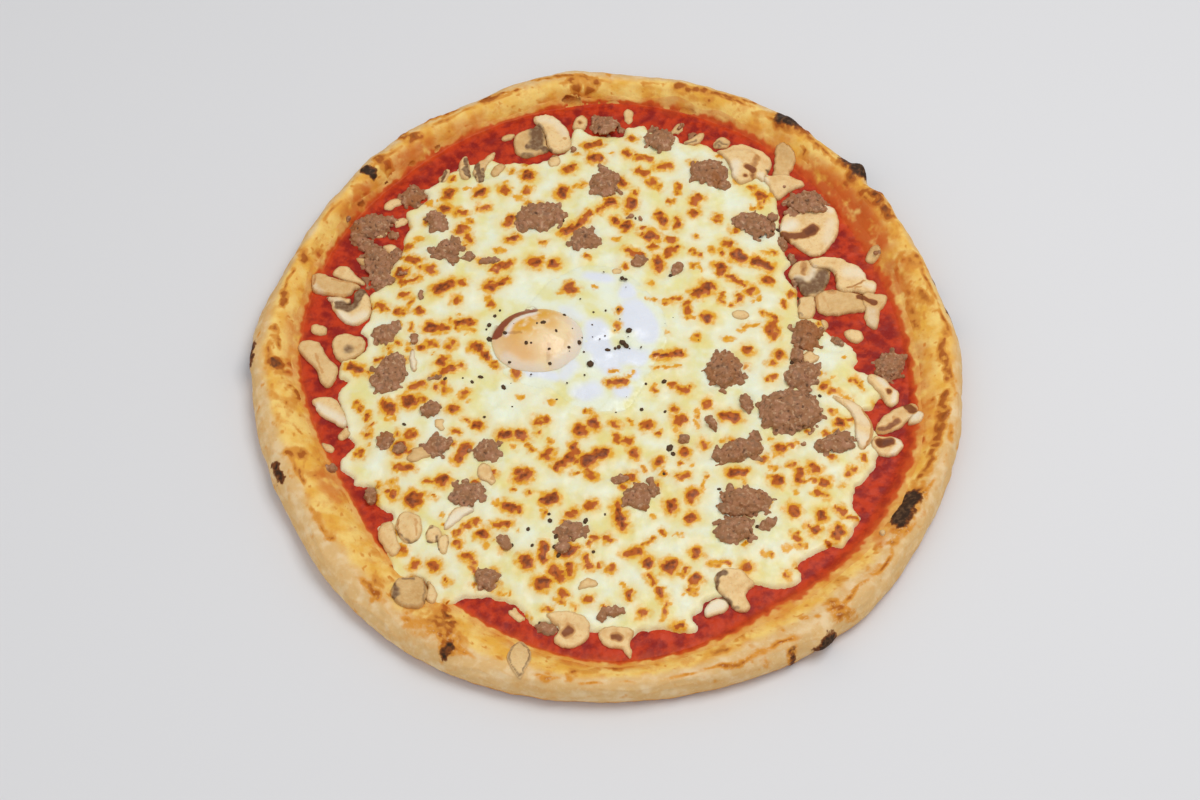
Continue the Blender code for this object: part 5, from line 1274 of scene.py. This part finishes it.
def make_cheese(look):
    """Melted cheese: a sheet on a fine grid, with a rounded ragged edge that sinks into the sauce."""
    curve = closed_curve(CHEESE_EDGE, 1.2 * MM)
    low, high = curve.min(0) - 4 * MM, curve.max(0) + 4 * MM
    x, y = np.meshgrid(*(np.arange(low[k], high[k], CHEESE_CELL * MM) for k in range(2)))
    inside = inside_by(x, y, curve)
    inside += (0.9 * plan_hills(x, y, 4.5 * MM, 7.0) + 0.5 * plan_hills(x, y, 2 * MM, 9.0)) * MM
    flecks = list(FLECKS) + strewn_flecks(look.strewn)
    toast, core = toast_at(x, y, flecks)
    buttery = painted(*ragged(x, y, 3 * MM, 8 * MM, 14.0), fleck_strokes(flecks, BUTTERY_REACH, 0.95), 0.9)
    rounding = rounded(inside, CHEESE_EDGE_ROUND * MM)
    relief = CHEESE_RELIEF * plan_hills(x, y, CHEESE_RELIEF_LENGTH * MM, 5.0)
    relief = relief + 0.75 * plan_hills(x, y, 7 * MM, 11.0) + 0.36 * plan_hills(x, y, 3 * MM, 15.0)
    thinner = CHEESE_THINNER * fade(CHEESE_THINNER_REACH, 2, inside / MM)
    top = CHEESE_BASE + CHEESE_THICKNESS - thinner + relief * fade(-1, 6, inside / MM)
    height = (SAUCE_TOP - 0.7) + (top - SAUCE_TOP + 0.7) * rounding + np.minimum(inside / MM, 0) * 0.8
    height = height * MM + look.blister * core * fade(0.2, 0.7, core) * rounding
    mesh, used = grid_mesh("cheese", x, y, height, inside > -CHEESE_TUCK * MM)
    set_masks(mesh, toast=toast.ravel()[used], buttery=buttery.ravel()[used],
              edge=fade(6, 1, inside.ravel()[used] / MM))
    close_below(mesh, (SAUCE_TOP - CHEESE_SINK) * MM)
    return finish_piece("toasted_cheese", mesh, cheese_finish(look), ["cheese"])


def close_below(mesh, height):
    """Closes an open sheet with a low wall from its border and a flat underside."""
    work = bmesh.new()
    work.from_mesh(mesh)
    border = [edge for edge in work.edges if edge.is_boundary]
    made = bmesh.ops.extrude_edge_only(work, edges=border)["geom"]
    for item in made:
        if isinstance(item, bmesh.types.BMVert):
            item.co.z = height
    border = [edge for edge in work.edges if edge.is_boundary]
    bmesh.ops.holes_fill(work, edges=border, sides=0)
    work.to_mesh(mesh)
    work.free()
    mesh.update()


def make_egg(look, cheese):
    """Egg: the spread white as a soft film over the cheese, and the yolk under its own film."""
    ground = Ground("toasted_cheese")
    angle = np.linspace(0, 2 * np.pi, 220, endpoint=False)
    share = np.concatenate((np.linspace(0.02, 0.9, 46), (0.93, 0.96, 0.98, 1.0)))[:, None]
    reach = around(WHITE_RADII, angle) * MM + 1.6 * MM * plan_hills(np.cos(angle), np.sin(angle), 0.3, 1.0)
    x = WHITE_MIDDLE[0] * MM + reach * share * np.cos(angle)
    y = WHITE_MIDDLE[1] * MM + reach * share * np.sin(angle)
    under = ground.heights(x, y)
    smooth = under.copy()
    for _ in range(10):
        sides = np.roll(smooth, 1, 1) + np.roll(smooth, -1, 1)
        smooth[1:-1] = (smooth[:-2] + smooth[2:] + sides[1:-1]) / 4
    whiteness = painted(*ragged(x, y, 2.2 * MM, 7 * MM, 3.0), WHITE_PATCHES, 0.9)
    thick = WHITE_THICKNESS * MM * (1 - share ** 2.2) + 0.35 * MM * whiteness * (1 - share ** 6)
    top = smooth + thick + 0.12 * MM * plan_hills(x, y, 3 * MM, 6.0)
    top = np.maximum(top, under - 0.05 * MM + 0.3 * MM * (1 - share ** 2))
    top[-1] = under[-1] - 0.25 * MM
    top[-2] = np.minimum(top[-2], under[-2] + 0.05 * MM)
    below = under[-1] - 0.9 * MM
    base = np.stack((x[-1], y[-1], below), -1)[None]
    middle = WHITE_MIDDLE[0] * MM, WHITE_MIDDLE[1] * MM
    mesh = disc_mesh("egg_white", np.concatenate((np.stack((x, y, top), -1), base)),
                     (*middle, top[0].mean()), (*middle, below.min()))
    scorched = painted(*ragged(x, y, 0.6 * MM, 2 * MM, 3.0), YOLK_SCORCH[:1], 0.5)
    set_masks(mesh, white=whiteness * fade(1.0, 0.8, share), toast=toast_at(x, y, FLECKS)[0],
              scorched=0.9 * scorched)
    finish_piece("egg_white", mesh, egg_white_finish(look, cheese), ["egg_white"])
    make_yolk(look)


def make_yolk(look):
    """Yolk: a low dome with a creased film, sunk a little into the white."""
    angle = np.linspace(0, 2 * np.pi, 200, endpoint=False)
    share = np.sin(np.linspace(0.03, 0.5 * np.pi, 44))[:, None]
    turn = math.radians(YOLK_TURN)
    wavy = 1 + 0.02 * plan_hills(np.cos(angle), np.sin(angle), 0.4, 9.0)
    u = YOLK_LENGTH / 2 * MM * share * np.cos(angle) * wavy
    v = YOLK_WIDTH / 2 * MM * share * np.sin(angle) * wavy
    x = YOLK_MIDDLE[0] * MM + u * math.cos(turn) - v * math.sin(turn)
    y = YOLK_MIDDLE[1] * MM + u * math.sin(turn) + v * math.cos(turn)
    base = Ground("egg_white").height(YOLK_MIDDLE[0] * MM, YOLK_MIDDLE[1] * MM)
    dome = (np.clip(1 - share ** 2, 0, 1) ** 0.8 * YOLK_RISE - 0.4) * MM
    crease = 0.22 * plan_hills(x, y, 5 * MM, 4.0) - 0.2 * np.abs(plan_hills(x, y, 3 * MM, 12.0))
    # Pale film, with a painted highlight line along the raised upper-left edge.
    pale = painted(x, y, YOLK_FILM_AND_HIGHLIGHT, 0.8)
    scorched = painted(*ragged(x, y, 0.6 * MM, 2 * MM, 3.0), YOLK_SCORCH, 0.5)
    top = base + dome + (crease + 0.5 * pale - 0.4 * scorched) * MM * fade(0, 3 * MM, dome)
    foot = np.stack((x[-1], y[-1], np.full_like(angle, base - 2.0 * MM)), -1)[None]
    middle = YOLK_MIDDLE[0] * MM, YOLK_MIDDLE[1] * MM
    mesh = disc_mesh("yolk", np.concatenate((np.stack((x, y, top), -1), foot)),
                     (*middle, top[0].mean()), (*middle, base - 2.0 * MM))
    gold = painted(*ragged(x, y, 2 * MM, 5 * MM, 2.0), YOLK_GOLD, 0.8)
    set_masks(mesh, gold=gold, orange=painted(x, y, YOLK_ORANGE, 0.9), pale=pale, scorched=scorched)
    return finish_piece("egg_yolk", mesh, yolk_finish(look), ["yolk"])


def smoothed(height, passes):
    """A grid of heights, evened out."""
    for _ in range(passes):
        wide = np.pad(height, 1, mode="edge")
        height = (wide[:-2, 1:-1] + wide[2:, 1:-1] + wide[1:-1, :-2] + wide[1:-1, 2:]) / 4
    return height


def bit_outline(x, y, length, width, turn, number):
    """Uneven outline of a small piece, in millimetres."""
    angle = np.linspace(0, 2 * np.pi, 9, endpoint=False)
    reach = 1 + 0.6 * plan_hills(np.cos(angle), np.sin(angle), 0.5, number * 1.7)
    u, v = reach * np.cos(angle) * length / 2, reach * np.sin(angle) * width / 2
    turned = math.radians(turn)
    across, along = (math.cos(turned), -math.sin(turned)), (math.sin(turned), math.cos(turned))
    return np.stack((x + u * across[0] + v * across[1], y + u * along[0] + v * along[1]), 1)


def slice_mesh(thick, tan, outline, number, ground):
    """One mushroom slice: a thin plate with a cut edge, draped on what lies under it."""
    curve = closed_curve(outline, 0.2 * MM)
    curve = np.stack(ragged(curve[:, 0], curve[:, 1], SLICE_FRAY * MM, 2.2 * MM, number * 1.3), 1)
    cell = SLICE_CELL * MM
    low, high = curve.min(0) - cell, curve.max(0) + 2 * cell
    x, y = np.meshgrid(np.arange(low[0], high[0], cell), np.arange(low[1], high[1], cell))
    under = ground.heights(x, y)
    drape = smoothed(under, 14)
    mesh, used = grid_mesh("slice", x, y, drape, inside_by(x, y, curve[::3]) > 0.1 * MM)
    work = bmesh.new()
    work.from_mesh(mesh)
    border = [vert.index for vert in work.verts if vert.is_boundary]
    work.free()
    points = points_of(mesh)
    far = np.linalg.norm(points[border, None, :2] - curve[None], axis=2)
    points[border, :2] = curve[far.argmin(1)]
    x, y = points[:, 0], points[:, 1]
    inside = np.maximum(inside_by(x, y, curve[::3]), 0)
    inside[border] = 0
    gill = painted(*ragged(x, y, 0.9 * MM, 2.2 * MM, 4.0), GILL_STROKES, 0.75)
    spot = painted(*ragged(x, y, 0.7 * MM, 2.2 * MM, 8.0), SPOT_STROKES, 0.6)
    bend = SLICE_WAVE * plan_hills(x, y, 9 * MM, number * 3.3)
    bend += SLICE_DENT * plan_hills(x, y, 3.2 * MM, number * 1.7)
    rise = thick * (0.45 + 0.45 * rounded(inside, SLICE_EDGE * MM)) + bend - 0.5 * gill - 0.2 * spot
    points[:, 2] = np.maximum(drape.ravel()[used] + rise * MM, under.ravel()[used] + 0.35 * MM)
    set_points(mesh, points)
    # A darker band along every piece's edge and side wall: partly the browned cut edge, partly painted edge
    # shade.
    skin = fade(1.1 * MM, 0.1 * MM, inside) * (0.5 + 0.3 * plan_hills(x, y, 5 * MM, 6.0))
    set_masks(mesh, skin=skin, tan=tan * (0.85 + 0.4 * plan_hills(x, y, 4 * MM, 5.0)), gill=gill, spot=spot,
              pale=painted(x, y, PALE_STROKES, 0.8))
    close_below(mesh, under.min() - SLICE_SINK * MM)
    return mesh


def make_mushrooms(look):
    """Every mushroom slice, stem and cap, and the small pieces between them."""
    ground = Ground("baked_crust", "tomato_sauce", "toasted_cheese")
    finish = mushroom_finish(look)
    for number, (name, (thick, tan, outline)) in enumerate(MUSHROOMS.items()):
        mesh = slice_mesh(thick, tan, outline, number, ground)
        ground.add(mesh)
        finish_piece("sliced_" + name, mesh, finish, [name])
    pieces = list(MUSHROOM_PIECES)
    for number, (*row, tan) in enumerate(MUSHROOM_BITS):
        pieces.append((BIT_THICKNESS, tan, bit_outline(*row, number)))
    bits = [slice_mesh(*piece, 40 + number, ground) for number, piece in enumerate(pieces)]
    finish_piece("mushroom_bits", joined(bits, "mushroom_bits"), finish)


def joined(meshes, name):
    """One mesh of several, with their masks kept."""
    objects = [add_object(name, mesh) for mesh in meshes]
    with bpy.context.temp_override(active_object=objects[0], selected_editable_objects=objects):
        bpy.ops.object.join()
    mesh = objects[0].data
    bpy.data.objects.remove(objects[0])
    return mesh


def realized(tree, laid, given, made):
    """Ends geometry nodes with real instances and their finish."""
    real = put(tree, "GeometryNodeRealizeInstances", {0: laid.outputs[0]})
    final = put(tree, "GeometryNodeSetMaterial", {"Geometry": real.outputs[0], "Material": given["Finish"]})
    tree.links.new(final.outputs[0], made["Geometry"])
    return tree


def crumble_tree():
    """Geometry nodes that cover a solid with crumbs of minced meat."""
    found = bpy.data.node_groups.get("Crumble")
    if found:
        return found
    tree, given, made = new_group(
        "Crumble",
        [("Geometry", "NodeSocketGeometry", None), ("Crumb radius", "NodeSocketFloat", 1.2 * MM),
         ("Spacing", "NodeSocketFloat", 1.7 * MM), ("Seed", "NodeSocketInt", 0),
         ("Finish", "NodeSocketMaterial", None)],
        [("Geometry", "NodeSocketGeometry")], "GeometryNodeTree")
    spread = put(tree, "GeometryNodeDistributePointsOnFaces",
                 {"Mesh": given["Geometry"], "Distance Min": given["Spacing"], "Density Max": 600000.0,
                  "Seed": given["Seed"]}, distribute_method="POISSON")
    crumb = put(tree, "GeometryNodeMeshIcoSphere", {"Radius": 1.0, "Subdivisions": 2})
    size = put(tree, "FunctionNodeRandomValue", {"Min": (0.6, 0.6, 0.45), "Max": (1.35, 1.15, 0.9),
                                                 "Seed": given["Seed"]}, data_type="FLOAT_VECTOR")
    scaled = put(tree, "ShaderNodeVectorMath", {0: size.outputs[0], "Scale": given["Crumb radius"]},
                 operation="SCALE")
    turn = put(tree, "FunctionNodeRandomValue", {"Min": (0.0, 0.0, 0.0), "Max": (6.3, 6.3, 6.3), "Seed": 3},
               data_type="FLOAT_VECTOR")
    laid = put(tree, "GeometryNodeInstanceOnPoints",
               {"Points": spread.outputs["Points"], "Instance": crumb.outputs[0], "Rotation": turn.outputs[0],
                "Scale": scaled.outputs[0]})
    both = put(tree, "GeometryNodeJoinGeometry")
    tree.links.new(laid.outputs[0], both.inputs[0])
    tree.links.new(given["Geometry"], both.inputs[0])
    return realized(tree, both, given, made)


def add_nodes_modifier(obj, tree, **values):
    modifier = obj.modifiers.new(tree.name, "NODES")
    modifier.node_group = tree
    keys = {item.name: item.identifier for item in tree.interface.items_tree if item.in_out == "INPUT"}
    for label, value in values.items():
        modifier[keys[label.replace("_", " ")]] = value
    return modifier


def plain_mesh(obj):
    """The object's evaluated mesh. The object itself is removed."""
    bpy.context.view_layer.update()
    mesh = bpy.data.meshes.new_from_object(obj.evaluated_get(bpy.context.evaluated_depsgraph_get()))
    bpy.data.objects.remove(obj)
    return mesh


def hollows(mesh, passes):
    """How far each point lies below its neighbours, in metres along its normal."""
    pairs = np.empty(len(mesh.edges) * 2, int)
    mesh.edges.foreach_get("vertices", pairs)
    first, second = pairs.reshape(-1, 2).T
    points = points_of(mesh)
    count = np.bincount(pairs, minlength=len(points))[:, None]
    smooth = points.copy()
    for _ in range(passes):
        total = np.zeros_like(smooth)
        np.add.at(total, first, smooth[second])
        np.add.at(total, second, smooth[first])
        smooth = total / np.maximum(count, 1)
    return ((smooth - points) * normals_of(mesh)).sum(1)


def crumbled(mesh, look, finish, number, seat):
    """Minced meat in the form of a closed mesh, with its underside pressed into what it lies on."""
    set_points(mesh, points_of(mesh) - normals_of(mesh) * look.grain * CRUMB_INSET)
    obj = add_object("clump", mesh)
    add_nodes_modifier(obj, crumble_tree(), Crumb_radius=look.grain, Spacing=look.grain * CRUMB_SPACING,
                       Seed=number, Finish=finish)
    remesh = obj.modifiers.new("knit", "REMESH")
    remesh.mode, remesh.voxel_size = "VOXEL", MINCE_VOXEL * MM
    soft = obj.modifiers.new("soften", "SMOOTH")
    soft.factor, soft.iterations = 0.5, 3
    mesh = plain_mesh(obj)
    points = points_of(mesh)
    bumps = 0.35 * hills(points, 2.6 * MM, 3.0) + 0.16 * hills(points, 1.1 * MM, 7.0)
    set_points(mesh, points + normals_of(mesh) * (bumps * MM)[:, None])
    # Painted shade: a mask of how deep each point lies in a hollow between crumbs, which the finish darkens.
    deep = fade(0.0, 0.34 * MM, hollows(mesh, 6)) * 0.75 + fade(0.0, 0.1 * MM, hollows(mesh, 2)) * 0.25
    points = points_of(mesh)
    low, high = points[:, 2].min(), points[:, 2].max()
    share = (points[:, 2] - low) / (high - low)
    # Painted shade at the foot of the clump, darker towards its bottom.
    deep = np.maximum(deep, 0.4 * fade(0.25, 0.05, share))
    points[:, 2] -= seat * MM * (1 - share) ** 2
    set_points(mesh, points)
    set_masks(mesh, hollow=deep)
    return mesh


def mince_roast(points, strength):
    x, y = ragged(points[:, 0], points[:, 1], 0.8 * MM, 3 * MM, 5.0)
    broad = strength * fade(-0.3, 0.4, hills(points, 4 * MM, 4.0))
    return np.maximum(painted(x, y, ROAST_STROKES, 0.6), broad)


def lump_mesh(x, y, length, width, turn, ground):
    """A plain egg-shaped lump lying on the ground, its place and size in millimetres."""
    work = bmesh.new()
    bmesh.ops.create_icosphere(work, subdivisions=2, radius=1.0)
    mesh = bpy.data.meshes.new("lump")
    work.to_mesh(mesh)
    work.free()
    size = Matrix.Diagonal((length / 2 * MM, width / 2 * MM, (width * CRUMB_RISE + 0.6) * MM, 1))
    place = Matrix.Translation((x * MM, y * MM, ground.height(x * MM, y * MM)))
    mesh.transform(place @ Matrix.Rotation(math.radians(turn), 4, "Z") @ size)
    mesh.update()
    return mesh


def frayed(mesh, ground, draw):
    """The clump with small lumps along its edge, which make its outline ragged."""
    points = points_of(mesh)
    middle = (points.min(0) + points.max(0)) / 2
    away = points[:, :2] - middle[:2]
    angles, reach = np.arctan2(away[:, 1], away[:, 0]), np.hypot(away[:, 0], away[:, 1])
    count = int(2 * math.pi * reach.max() / (FRAY_SPACING * MM))
    lumps = []
    for step in range(count):
        angle = (step + draw.uniform(-0.4, 0.4)) / count * 2 * math.pi
        near = np.cos(angles - angle) > 0.9
        if near.any():
            far = reach[near].max() * draw.uniform(0.72, 1.02) / MM
            x, y = middle[0] / MM + far * math.cos(angle), middle[1] / MM + far * math.sin(angle)
            size = draw.uniform(3, 8), draw.uniform(2.4, 5)
            lumps.append(lump_mesh(x, y, *size, draw.uniform(0, 180), ground))
    return joined([mesh] + lumps, "clump")


def make_mince(look):
    """Every clump of mince from the form of its solid, and the loose crumbs."""
    finish = mince_finish(look)
    ground = Ground("baked_crust", "tomato_sauce", "toasted_cheese", "egg_white")
    draw = random.Random(SEED + 2)
    names = sorted(name for name in frame["nodes"] if name.startswith("mince_"))
    for number, name in enumerate(names):
        mesh = frame["nodes"][name].data.copy()
        work = bmesh.new()
        work.from_mesh(mesh)
        bmesh.ops.remove_doubles(work, verts=work.verts, dist=0.001 * MM)
        work.to_mesh(mesh)
        work.free()
        mesh.transform(Matrix.Translation(-PLACE))
        mesh = crumbled(frayed(mesh, ground, draw), look, finish, number, MINCE_SEAT)
        set_masks(mesh, roasted=mince_roast(points_of(mesh), MINCE_ROAST.get(name, 0.0)))
        finish_piece("cooked_" + name, mesh, finish, [name])
    lumps = [lump_mesh(*row, ground) for row in MINCE_CRUMBS]
    mesh = crumbled(joined(lumps, "crumbs"), look, finish, 60, 0.0)
    set_masks(mesh, roasted=mince_roast(points_of(mesh), 0.15))
    finish_piece("mince_crumbs", mesh, finish)


def scatter_tree():
    """Geometry nodes that put a small broken grain on every point."""
    found = bpy.data.node_groups.get("Grains")
    if found:
        return found
    tree, given, made = new_group(
        "Grains",
        [("Geometry", "NodeSocketGeometry", None), ("Seed", "NodeSocketInt", 0),
         ("Flatness", "NodeSocketFloat", 0.6), ("Finish", "NodeSocketMaterial", None)],
        [("Geometry", "NodeSocketGeometry")], "GeometryNodeTree")
    grain = put(tree, "GeometryNodeMeshIcoSphere", {"Radius": 1.0, "Subdivisions": 1})
    size = put(tree, "GeometryNodeInputNamedAttribute", {"Name": "size"}, data_type="FLOAT")
    uneven = put(tree, "FunctionNodeRandomValue", {"Min": (0.7, 0.6, 0.6), "Max": (1.2, 1.0, 1.0),
                                                   "Seed": given["Seed"]}, data_type="FLOAT_VECTOR")
    scaled = put(tree, "ShaderNodeVectorMath", {0: uneven.outputs[0], "Scale": size.outputs[0]},
                 operation="SCALE")
    flat = put(tree, "ShaderNodeCombineXYZ", {0: 1.0, 1: 1.0, 2: given["Flatness"]})
    squashed = put(tree, "ShaderNodeVectorMath", {0: scaled.outputs[0], 1: flat.outputs[0]},
                   operation="MULTIPLY")
    turn = put(tree, "FunctionNodeRandomValue", {"Min": (-0.4, -0.4, 0.0), "Max": (0.4, 0.4, 6.3),
                                                 "Seed": given["Seed"]}, data_type="FLOAT_VECTOR")
    laid = put(tree, "GeometryNodeInstanceOnPoints",
               {"Points": given["Geometry"], "Instance": grain.outputs[0], "Rotation": turn.outputs[0],
                "Scale": squashed.outputs[0]})
    return realized(tree, laid, given, made)


def make_pepper(look):
    """Ground pepper, larger grains on the egg and small ones strewn round it."""
    ground = Ground("toasted_cheese", "egg_white", "egg_yolk", "tomato_sauce")
    draw = random.Random(SEED + 5)
    grains = [(x, y, size / 2) for x, y, size in PEPPER]
    for _ in range(PEPPER_STREWN):
        angle, far = draw.uniform(0, 2 * math.pi), abs(draw.gauss(0, 1)) * PEPPER_SPREAD / 2
        size = look.grain / MM * draw.uniform(0.5, 1.2)
        x, y = WHITE_MIDDLE[0] + far * math.cos(angle), WHITE_MIDDLE[1] + far * math.sin(angle)
        grains.append((x, y, size))
    points = [(x * MM, y * MM, ground.height(x * MM, y * MM) + 0.1 * size * MM) for x, y, size in grains]
    mesh = bpy.data.meshes.new("pepper")
    mesh.from_pydata(points, [], [])
    sizes = mesh.attributes.new("size", "FLOAT", "POINT")
    sizes.data.foreach_set("value", [size * MM for x, y, size in grains])
    obj = add_object("pepper", mesh)
    finish = pepper_finish(look)
    add_nodes_modifier(obj, scatter_tree(), Seed=SEED, Flatness=0.5, Finish=finish)
    return finish_piece("ground_pepper", plain_mesh(obj), finish)


def make_stage(look):
    """Pale floor, soft light from above on the right, and the camera at the photograph's angle."""
    floor = bpy.data.meshes.new("floor")
    corners = [(x * FLOOR_REACH, y * FLOOR_REACH, 0) for x, y in ((-1, -1), (1, -1), (1, 1), (-1, 1))]
    floor.from_pydata(corners, [], [(0, 1, 2, 3)])
    floor.materials.append(new_finish("plain_floor", base_color=look.floor, roughness=0.7)[0])
    ground = add_object("floor", floor)
    for name, place, side, power in ((*MAIN_LIGHT, look.key), (*FILL_LIGHT, look.fill)):
        lamp = bpy.data.lights.new(name, "AREA")
        lamp.energy, lamp.size = power, side
        obj = add_object(name, lamp)
        obj.location = place
        obj.rotation_euler = (-Vector(place)).to_track_quat("-Z", "Y").to_euler()
    world = bpy.data.worlds.new("pale_room")
    world.use_nodes = True
    sky = world.node_tree.nodes["Background"]
    sky.inputs["Color"].default_value = (1.0, 1.0, 1.0, 1.0)
    sky.inputs["Strength"].default_value = look.sky
    bpy.context.scene.world = world
    bpy.context.scene.view_settings.view_transform = "Standard"
    make_camera()


def make_camera():
    lens = bpy.data.cameras.new("view")
    lens.lens, lens.sensor_width, lens.clip_start, lens.clip_end = LENS, SENSOR, 0.01, 10
    camera = add_object("view", lens)
    tilt, roll = math.radians(VIEW_ELEVATION), math.radians(VIEW_ROLL)
    forward = Vector((0, math.cos(tilt), -math.sin(tilt)))
    right, up = Vector((1, 0, 0)), Vector((0, math.sin(tilt), math.cos(tilt)))
    side = right * math.cos(roll) + up * math.sin(roll)
    top = up * math.cos(roll) - right * math.sin(roll)
    turned = Matrix((side, top, -forward)).transposed().to_4x4()
    place = Vector(VIEW_TARGET) * MM + PLACE - forward * VIEW_DISTANCE * MM
    camera.matrix_world = Matrix.Translation(place) @ turned
    bpy.context.scene.camera = camera


class PIZZA_OT_crust(Operator):
    """Make the baked crust"""
    bl_idname = "pizza.crust"
    bl_label = "Crust"

    def execute(self, context):
        make_crust(context.scene.pizza_crust)
        return {"FINISHED"}


class PIZZA_OT_sauce(Operator):
    """Spread the tomato sauce up to the rim of the crust"""
    bl_idname = "pizza.sauce"
    bl_label = "Tomato sauce"

    def execute(self, context):
        make_sauce(context.scene.pizza_sauce, context.scene.pizza_crust)
        return {"FINISHED"}


class PIZZA_OT_cheese(Operator):
    """Melt and toast the cheese"""
    bl_idname = "pizza.cheese"
    bl_label = "Toasted cheese"

    def execute(self, context):
        make_cheese(context.scene.pizza_cheese)
        return {"FINISHED"}


class PIZZA_OT_egg(Operator):
    """Lay the egg on the cheese"""
    bl_idname = "pizza.egg"
    bl_label = "Egg"

    def execute(self, context):
        make_egg(context.scene.pizza_egg, context.scene.pizza_cheese)
        return {"FINISHED"}


class PIZZA_OT_mushrooms(Operator):
    """Lay the mushroom slices"""
    bl_idname = "pizza.mushrooms"
    bl_label = "Mushrooms"

    def execute(self, context):
        make_mushrooms(context.scene.pizza_mushrooms)
        return {"FINISHED"}


class PIZZA_OT_mince(Operator):
    """Crumble the mince"""
    bl_idname = "pizza.mince"
    bl_label = "Mince"

    def execute(self, context):
        make_mince(context.scene.pizza_mince)
        return {"FINISHED"}


class PIZZA_OT_pepper(Operator):
    """Strew the ground pepper"""
    bl_idname = "pizza.pepper"
    bl_label = "Pepper"

    def execute(self, context):
        make_pepper(context.scene.pizza_pepper)
        return {"FINISHED"}


class PIZZA_OT_stage(Operator):
    """Set up the floor, the lights and the camera"""
    bl_idname = "pizza.stage"
    bl_label = "Stage"

    def execute(self, context):
        make_stage(context.scene.pizza_stage)
        return {"FINISHED"}


SETTINGS = {
    "pizza_crust": CrustSettings, "pizza_sauce": SauceSettings, "pizza_cheese": CheeseSettings,
    "pizza_egg": EggSettings, "pizza_mushrooms": MushroomSettings, "pizza_mince": MinceSettings,
    "pizza_pepper": PepperSettings, "pizza_stage": StageSettings,
}
OPERATORS = (
    PIZZA_OT_crust, PIZZA_OT_sauce, PIZZA_OT_cheese, PIZZA_OT_egg, PIZZA_OT_mushrooms, PIZZA_OT_mince,
    PIZZA_OT_pepper, PIZZA_OT_stage)


class PIZZA_PT_pieces(Panel):
    """The pieces of the pizza, each with its settings"""
    bl_idname = "PIZZA_PT_pieces"
    bl_label = "Pizza"
    bl_space_type = "VIEW_3D"
    bl_region_type = "UI"
    bl_category = "Pizza"

    def draw(self, context):
        for operator, (name, settings) in zip(OPERATORS, SETTINGS.items()):
            box = self.layout.box()
            box.operator(operator.bl_idname)
            for key in settings.__annotations__:
                box.prop(getattr(context.scene, name), key)


def register():
    for name, settings in SETTINGS.items():
        bpy.utils.register_class(settings)
        setattr(bpy.types.Scene, name, PointerProperty(type=settings))
    for operator in OPERATORS:
        bpy.utils.register_class(operator)
    bpy.utils.register_class(PIZZA_PT_pieces)


def unregister():
    bpy.utils.unregister_class(PIZZA_PT_pieces)
    for operator in reversed(OPERATORS):
        bpy.utils.unregister_class(operator)
    for name, settings in reversed(SETTINGS.items()):
        delattr(bpy.types.Scene, name)
        bpy.utils.unregister_class(settings)


def main():
    register()
    bpy.ops.pizza.crust()
    bpy.ops.pizza.sauce()
    bpy.ops.pizza.cheese()
    bpy.ops.pizza.egg()
    bpy.ops.pizza.mushrooms()
    bpy.ops.pizza.mince()
    bpy.ops.pizza.pepper()
    bpy.ops.pizza.stage()


if __name__ == "__main__":
    main()
